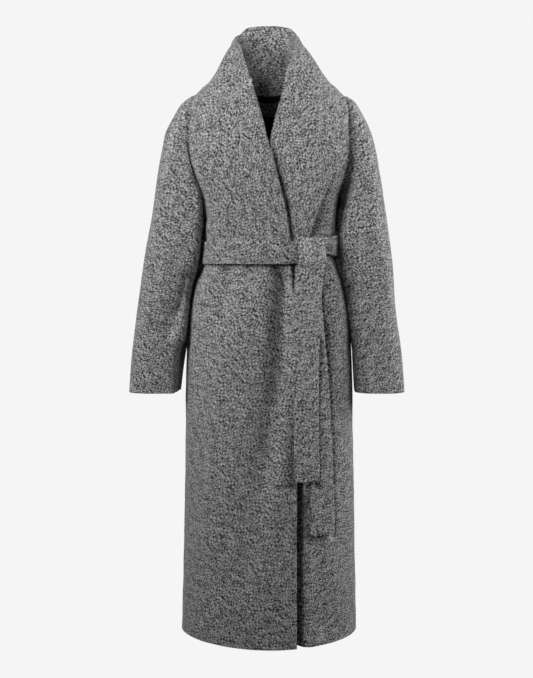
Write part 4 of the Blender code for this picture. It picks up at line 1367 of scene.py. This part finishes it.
# %% [markdown]
# ## Belt: the two hanging ends
#
# The front end comes up behind the belt, folds over its top edge and hangs down in front, and
# the back end hangs behind that one. Tying a real knot would need one long strip that crosses
# itself. Seen from outside, a knot is only the fold of one end over the other, so each end is a
# strip of the belt's width that follows its own path, listed by height, the strip's middle and
# how far out of the body surface it hangs. The back end is pressed in along the front one's edge,
# which lies on it.

# %% Paths of the ends
FOLD_TOP = -0.3255  # height of the fold over the belt's top edge
FOLD_INNER, FOLD_OUTER = 0.0008, 0.0152  # how far out its legs behind and before the belt lie
FOLD_REST = -0.341  # the leg behind the belt starts at this height
FOLD_SHIFT = 0.002  # the fold's middle lies this far outside the hanging stretch
FOLD_STEPS = 6
END_FRONT = table(
    "height middle lift",
    [
        (-0.350, 0.0805, 0.0240),
        (-0.370, 0.0802, 0.0275),
        (-0.410, 0.0790, 0.0215),
        (-0.500, 0.0754, 0.0175),
        (-0.621, 0.0727, 0.0175),
        (-0.8386, 0.0743, 0.0165),
    ],
)
END_BACK = table(
    "height middle lift",
    [
        (-0.352, 0.0780, 0.0045),
        (-0.450, 0.0815, 0.0065),
        (-0.550, 0.0901, 0.0080),
        (-0.651, 0.0985, 0.0080),
        (-0.753, 0.1043, 0.0080),
        (-0.855, 0.1082, 0.0080),
        (-0.956, 0.1101, 0.0080),
    ],
)


def end_path(rows):
    return np.stack([rows["middle"], rows["height"], rows["lift"]], axis=-1)


def fold_path():
    radius = (FOLD_OUTER - FOLD_INNER) / 2
    centre_z = FOLD_TOP - radius
    turn = np.linspace(0, np.pi, FOLD_STEPS + 1)
    middle = END_FRONT["middle"][0] + FOLD_SHIFT
    lift = (FOLD_OUTER + FOLD_INNER) / 2 - radius * np.cos(turn)
    arc = np.stack([np.full_like(turn, middle), centre_z + radius * np.sin(turn), lift], axis=-1)
    leg = [[middle, FOLD_REST, FOLD_INNER]]
    return np.concatenate([leg, arc])


front_path = np.concatenate([fold_path(), end_path(END_FRONT)])
back_path = end_path(END_BACK)
print("points of the front end's path:", len(front_path), "and of the back end's:", len(back_path))

# %% [markdown]
# ## Belt: hang the ends
#
# `hang` carries a strip along its path. Each end has a soft bulge between its edges and a little
# unevenness.

# %% Make the ends
TAIL_CLEAR = 0.0012  # both ends hang this much further out than their paths


def hang(path, across, along):
    steps = np.linalg.norm(np.diff(path, axis=0), axis=-1)
    knots = np.append(0, np.cumsum(steps))
    middle, z, lift = np.moveaxis(follow(along * knots[-1], knots, path), -1, 0)
    x = middle + (across - 0.5) * BELT_WIDTH
    return lay(x, z, lift + TAIL_CLEAR)


TAIL_BULGE = 0.0010
TAIL_WAVE = 0.0010
TAIL_SIZE = 0.05, 0.55  # width and length, roughly
TAIL_SHADE = table(
    CREASE,
    [
        # Along the outer edge of the front end, which lies on the back one.
        (0.1050, -0.545, 0.0990, -0.690, 0.1000, -0.850, 0.0050, 0.0050, -0.0070),
    ],
)


def tail_relief(across, along, laid):
    slow = uneven(across * TAIL_SIZE[0], along * TAIL_SIZE[1], size=0.08, seed=12)
    return TAIL_BULGE * np.sin(np.pi * across) + TAIL_WAVE * slow


def back_tail_relief(across, along, laid):
    return tail_relief(across, along, laid) + press(laid[:, 0], laid[:, 2], TAIL_SHADE)


for name, path, relief in (("front", front_path, tail_relief), ("back", back_path, back_tail_relief)):
    cloth(
        f"belt_tail_{name}",
        lambda u, v: hang(path, u, v),
        grid=(16, 180),
        wall=BELT_CLOTH,
        edge=BELT_EDGE,
        turned=True,
        strip=True,
        relief=relief,
    )

# %% [markdown]
# ## Nodes for the materials
#
# All four materials are built from the same few parts: a noise read in the cloth's own pattern,
# whose UV map is in metres, a ramp that turns a value into a colour, and a Bump node that lifts
# the surface. Small helpers keep each material short enough to read.

# %% Material helpers
SPECULAR = 0.25  # cloth shines less than the shader's own 0.5


def node(tree, kind, **settings):
    made = tree.nodes.new(kind)
    for name, value in settings.items():
        setattr(made, name, value)
    return made


def noise(tree, place, scale, detail, roughness, turn=0.0, stretch=(1, 1)):
    mapping = node(tree, "ShaderNodeMapping", vector_type="TEXTURE")
    mapping.inputs["Rotation"].default_value = (0, 0, turn)
    mapping.inputs["Scale"].default_value = (stretch[0], stretch[1], 1)
    tree.links.new(place, mapping.inputs["Vector"])
    made = node(tree, "ShaderNodeTexNoise", noise_dimensions="2D")
    made.inputs["Scale"].default_value = scale
    made.inputs["Detail"].default_value = detail
    made.inputs["Roughness"].default_value = roughness
    tree.links.new(mapping.outputs["Vector"], made.inputs["Vector"])
    return made.outputs["Fac"]


def combine(tree, operation, first, second):
    made = node(tree, "ShaderNodeMath", operation=operation)
    for socket, value in zip(made.inputs, (first, second)):
        if isinstance(value, float):
            socket.default_value = value
        else:
            tree.links.new(value, socket)
    return made.outputs[0]


def ramp(tree, value, stops):
    made = node(tree, "ShaderNodeValToRGB")
    while len(made.color_ramp.elements) < len(stops):
        made.color_ramp.elements.new(0.5)
    for element, (position, colour) in zip(made.color_ramp.elements, stops):
        element.position = position
        element.color = (*colour, 1)
    tree.links.new(value, made.inputs["Fac"])
    return made.outputs["Color"]


def new_material(name, roughness, sheen, sheen_roughness):
    made = bpy.data.materials.new(name)
    made.use_nodes = True
    shader = made.node_tree.nodes["Principled BSDF"]
    shader.inputs["Roughness"].default_value = roughness
    shader.inputs["Sheen Weight"].default_value = sheen
    shader.inputs["Sheen Roughness"].default_value = sheen_roughness
    shader.inputs["Specular IOR Level"].default_value = SPECULAR
    return made, made.node_tree, shader


def in_pattern(tree):
    return node(tree, "ShaderNodeUVMap", uv_map="Weave").outputs["UV"]


def colour_and_lift(tree, shader, colour, height, strength, distance):
    tree.links.new(colour, shader.inputs["Base Color"])
    bump = node(tree, "ShaderNodeBump")
    bump.inputs["Strength"].default_value = strength
    bump.inputs["Distance"].default_value = distance
    tree.links.new(height, bump.inputs["Height"])
    tree.links.new(bump.outputs["Normal"], shader.inputs["Normal"])


print("specular level of all cloth:", SPECULAR)

# %% [markdown]
# ## Boucle wool
#
# Up close this wool is a felted mass of short curls of light and dark yarn, a few millimetres
# each, over a faint diagonal weave. So the colour comes from three noise textures: round curls,
# flecks drawn out along the diagonal, and slow mottling under them. Added up, they also lift the
# surface a little, because curls stand up. Sheen gives the pale haze of a nap at grazing angles.
# The facing is of the same wool, painted a little paler as painted light, because few lamps reach inside
# the neck.

# %% Wool material
CURL_SHARE, TWILL_SHARE, MOTTLE_SHARE = 0.26, 0.58, 0.16
TWILL_TURN = np.radians(45)
DARK_END, MIDDLE, LIGHT_START = 0.43, 0.50, 0.57  # on the sum of the three, which stays near 0.5


def wool(name, dark, middle, light):
    made, tree, shader = new_material(name, roughness=0.95, sheen=0.2, sheen_roughness=0.5)
    weave = in_pattern(tree)
    curls = noise(tree, weave, scale=480.0, detail=2.0, roughness=0.7)
    twill = noise(tree, weave, scale=540.0, detail=1.0, roughness=0.6, turn=TWILL_TURN, stretch=(2.8, 1))
    mottle = noise(tree, weave, scale=80.0, detail=2.0, roughness=0.6, stretch=(1.6, 1))
    flecks = combine(tree, "MULTIPLY", curls, CURL_SHARE)
    for yarn, share in ((twill, TWILL_SHARE), (mottle, MOTTLE_SHARE)):
        flecks = combine(tree, "ADD", flecks, combine(tree, "MULTIPLY", yarn, share))
    colour = ramp(tree, flecks, [(DARK_END, dark), (MIDDLE, middle), (LIGHT_START, light)])
    colour_and_lift(tree, shader, colour, flecks, strength=0.8, distance=0.0025)
    return made


grey_wool = wool("Boucle wool", (0.016, 0.016, 0.018), (0.145, 0.145, 0.149), (0.60, 0.60, 0.59))
# The facing's paler tones are painted light: the same wool, lightened where the lamps barely reach.
lit_facing_wool = wool("Facing wool, painted paler", (0.030, 0.030, 0.031), (0.230, 0.230, 0.235), (0.65, 0.65, 0.65))
print("materials:", grey_wool.name, lit_facing_wool.name)

# %% [markdown]
# ## Tape and lining
#
# The tape is a ribbed navy ribbon. Its ridges could be modelled, but they are only a millimetre
# apart, so a wave texture lifts them. The lining is a plain black satin, which is darker and
# smoother than the wool around it, with a very fine weave.

# %% Tape and lining materials


def ribbed_tape():
    made, tree, shader = new_material("Navy ribbed tape", roughness=0.7, sheen=0.1, sheen_roughness=0.4)
    ribs = node(tree, "ShaderNodeTexWave", wave_type="BANDS", bands_direction="X")
    ribs.inputs["Scale"].default_value = 300.0
    tree.links.new(in_pattern(tree), ribs.inputs["Vector"])
    ribs = ribs.outputs["Fac"]
    colour = ramp(tree, ribs, [(0.2, (0.006, 0.008, 0.018)), (0.8, (0.014, 0.018, 0.036))])
    colour_and_lift(tree, shader, colour, ribs, strength=0.5, distance=0.0003)
    return made


def black_satin():
    made, tree, shader = new_material("Black satin", roughness=0.42, sheen=0.0, sheen_roughness=0.3)
    threads = noise(tree, in_pattern(tree), scale=900.0, detail=1.0, roughness=0.5, stretch=(1, 5))
    colour = ramp(tree, threads, [(0.3, (0.004, 0.004, 0.005)), (0.7, (0.009, 0.009, 0.010))])
    colour_and_lift(tree, shader, colour, threads, strength=0.3, distance=0.0001)
    return made


navy_tape, satin = ribbed_tape(), black_satin()
print("materials:", navy_tape.name, satin.name)

# %% [markdown]
# ## What each piece stands for
#
# Each piece takes the place of its solid, rides on the coat's one body and takes its slot's
# finish. The table also gives how it is held, and the piece that it rests on where it is folded
# over one, though nothing below reads these two; the areas of all the pieces' cloth are added up.

# wool_inside takes the facing wool, painted paler as painted light.
FINISHES = {"wool": grey_wool, "wool_inside": lit_facing_wool, "tape": navy_tape, "lining": satin}
ROLES = {
    "coat_back": ("back", "wool", "hung", []),
    "coat_front_right": ("front_right", "wool", "hung", []),
    "coat_front_left": ("front_left", "wool", "hung", []),
    "collar_right": ("shawl_right", "wool", "folded", ["coat_front_right"]),
    "collar_left": ("shawl_left", "wool", "folded", ["coat_front_left"]),
    "coat_sleeve_right": ("sleeve_right", "wool", "hung", []),
    "coat_sleeve_left": ("sleeve_left", "wool", "hung", []),
    "facing": ("neck_facing", "wool_inside", "hung", []),
    "tape": ("neck_tape", "tape", "hung", []),
    "back_lining": ("lining", "lining", "hung", []),
    "belt_waist": ("belt_round", "wool", "draped", []),
    "belt_tail_front": ("belt_end_front", "wool", "folded", ["belt_waist"]),
    "belt_tail_back": ("belt_end_back", "wool", "hung", []),
}
for name, (cad_node, slot, held, carried_by) in ROLES.items():
    piece, width, length, area = pieces[name]
    piece.data.materials.append(FINISHES[slot])
    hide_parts(cad_node)
    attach(piece, "root")
print(len(ROLES), "pieces,", round(sum(pieces[name][3] for name in ROLES), 2), "m2 of cloth")

# %% [markdown]
# ## Ground
#
# The coat stands in front of an even, almost white ground. One world could give that white to
# everything, but it would flatten the folds. So it gives the white to the camera alone, and only
# a faint light to the cloth.

# %% World
GROUND = 0.913  # how bright the ground is seen, where 1 is white
AMBIENT = 0.05  # how much light it gives

world = bpy.data.worlds.new("Studio")
bpy.context.scene.world = world
world.use_nodes = True
tree = world.node_tree
tree.nodes.clear()
seen = node(tree, "ShaderNodeLightPath").outputs["Is Camera Ray"]
ground, ambient = node(tree, "ShaderNodeBackground"), node(tree, "ShaderNodeBackground")
ground.inputs["Color"].default_value = (GROUND, GROUND, GROUND, 1)
ambient.inputs["Color"].default_value = (1.0, 1.0, 1.0, 1)
ambient.inputs["Strength"].default_value = AMBIENT
mix = node(tree, "ShaderNodeMixShader")
tree.links.new(seen, mix.inputs[0])
tree.links.new(ambient.outputs[0], mix.inputs[1])
tree.links.new(ground.outputs[0], mix.inputs[2])
tree.links.new(mix.outputs[0], node(tree, "ShaderNodeOutputWorld").inputs["Surface"])

print("ground", GROUND, "and ambient light", AMBIENT)

# %% [markdown]
# ## Floor
#
# Far below the hem lies a wide floor that is as pale as the ground, so its horizon doesn't show.
# A floor that is lit would catch a shadow and be grey in places. This one glows by itself and
# takes no part in the light on the cloth.

# %% Floor
FLOOR_HEIGHT = -1.60
FLOOR_HALF_WIDTH = 40

bm = bmesh.new()
bmesh.ops.create_grid(bm, x_segments=1, y_segments=1, size=FLOOR_HALF_WIDTH)
bmesh.ops.translate(bm, verts=bm.verts, vec=(0, 0, FLOOR_HEIGHT))
mesh = bpy.data.meshes.new("floor")
bm.to_mesh(mesh)
bm.free()
floor = bpy.data.objects.new("floor", mesh)
bpy.context.scene.collection.objects.link(floor)
pale = bpy.data.materials.new("Pale floor")
pale.use_nodes = True
pale_shader = pale.node_tree.nodes["Principled BSDF"]
pale_shader.inputs["Base Color"].default_value = (0, 0, 0, 1)
pale_shader.inputs["Specular IOR Level"].default_value = 0.0
pale_shader.inputs["Emission Color"].default_value = (GROUND, GROUND, GROUND, 1)
pale_shader.inputs["Emission Strength"].default_value = 1.0
mesh.materials.append(pale)
floor.visible_diffuse = False
floor.visible_glossy = False
floor.visible_shadow = False
print("floor at", FLOOR_HEIGHT, "m")

# %% [markdown]
# ## Lights
#
# Soft round lights close to the coat shape its folds from both sides: three at chest height, two
# from above, and all fade towards the hem. Two more light its back. Each row gives its turn from
# the front, as seen from above, and its rise, in degrees; then the height that it is aimed at,
# its distance from there and its own width, in metres; and its power in watts.

# %% Lights
LIGHTS = {
    "Key left": (-50, 7, -0.10, 1.8, 0.6, 18.0),
    "High left": (-40, 38, -0.10, 1.8, 0.5, 13.0),
    "High right": (45, 35, -0.10, 1.8, 0.5, 6.0),
    "Side right": (72, 5, -0.10, 1.8, 0.7, 14.0),
    "Far right": (100, 5, -0.15, 1.8, 0.7, 17.0),
    "Behind left": (-150, 20, -0.35, 2.6, 1.2, 16.0),
    "Behind right": (165, 12, -0.35, 2.6, 1.2, 16.0),
}


def soft_light(name, turn, rise, aim, distance, size, power):
    data = bpy.data.lights.new(name, "AREA")
    data.shape = "DISK"
    data.size = size
    data.energy = power
    lamp = bpy.data.objects.new(name, data)
    bpy.context.scene.collection.objects.link(lamp)
    turn, rise = np.radians([turn, rise])
    way = Vector((np.sin(turn) * np.cos(rise), -np.cos(turn) * np.cos(rise), np.sin(rise)))
    lamp.location = Vector((0, 0, aim)) + distance * way
    lamp.rotation_euler = way.to_track_quat("Z", "Y").to_euler()


for name, row in LIGHTS.items():
    soft_light(name, *row)
print("lights:", ", ".join(LIGHTS))

# %% [markdown]
# ## Camera
#
# The camera stands at the height of the belt, two and a half metres in front of the coat, and
# looks a few degrees down, through a lens a little longer than normal. From nearer, a wide lens
# would make the collar large and the hem small. The Standard view transform shows colours as
# they are, so the ground stays almost white.

# %% Camera
CAMERA_PLACE = -0.006, -2.5, -0.356
CAMERA_DIP = 4.38  # degrees below level
LENS, SENSOR_WIDTH = 60.34, 36  # mm

scene = bpy.context.scene
camera = bpy.data.objects.new("Camera", bpy.data.cameras.new("Camera"))
scene.collection.objects.link(camera)
camera.location = CAMERA_PLACE
camera.rotation_euler = (np.radians(90 - CAMERA_DIP), 0, 0)
camera.data.lens = LENS
camera.data.sensor_width = SENSOR_WIDTH
camera.data.clip_end = 200  # past the floor's far edge
scene.camera = camera
scene.view_settings.view_transform = "Standard"
scene.view_settings.look = "None"
print("camera at", CAMERA_PLACE, "with a lens of", LENS, "mm")
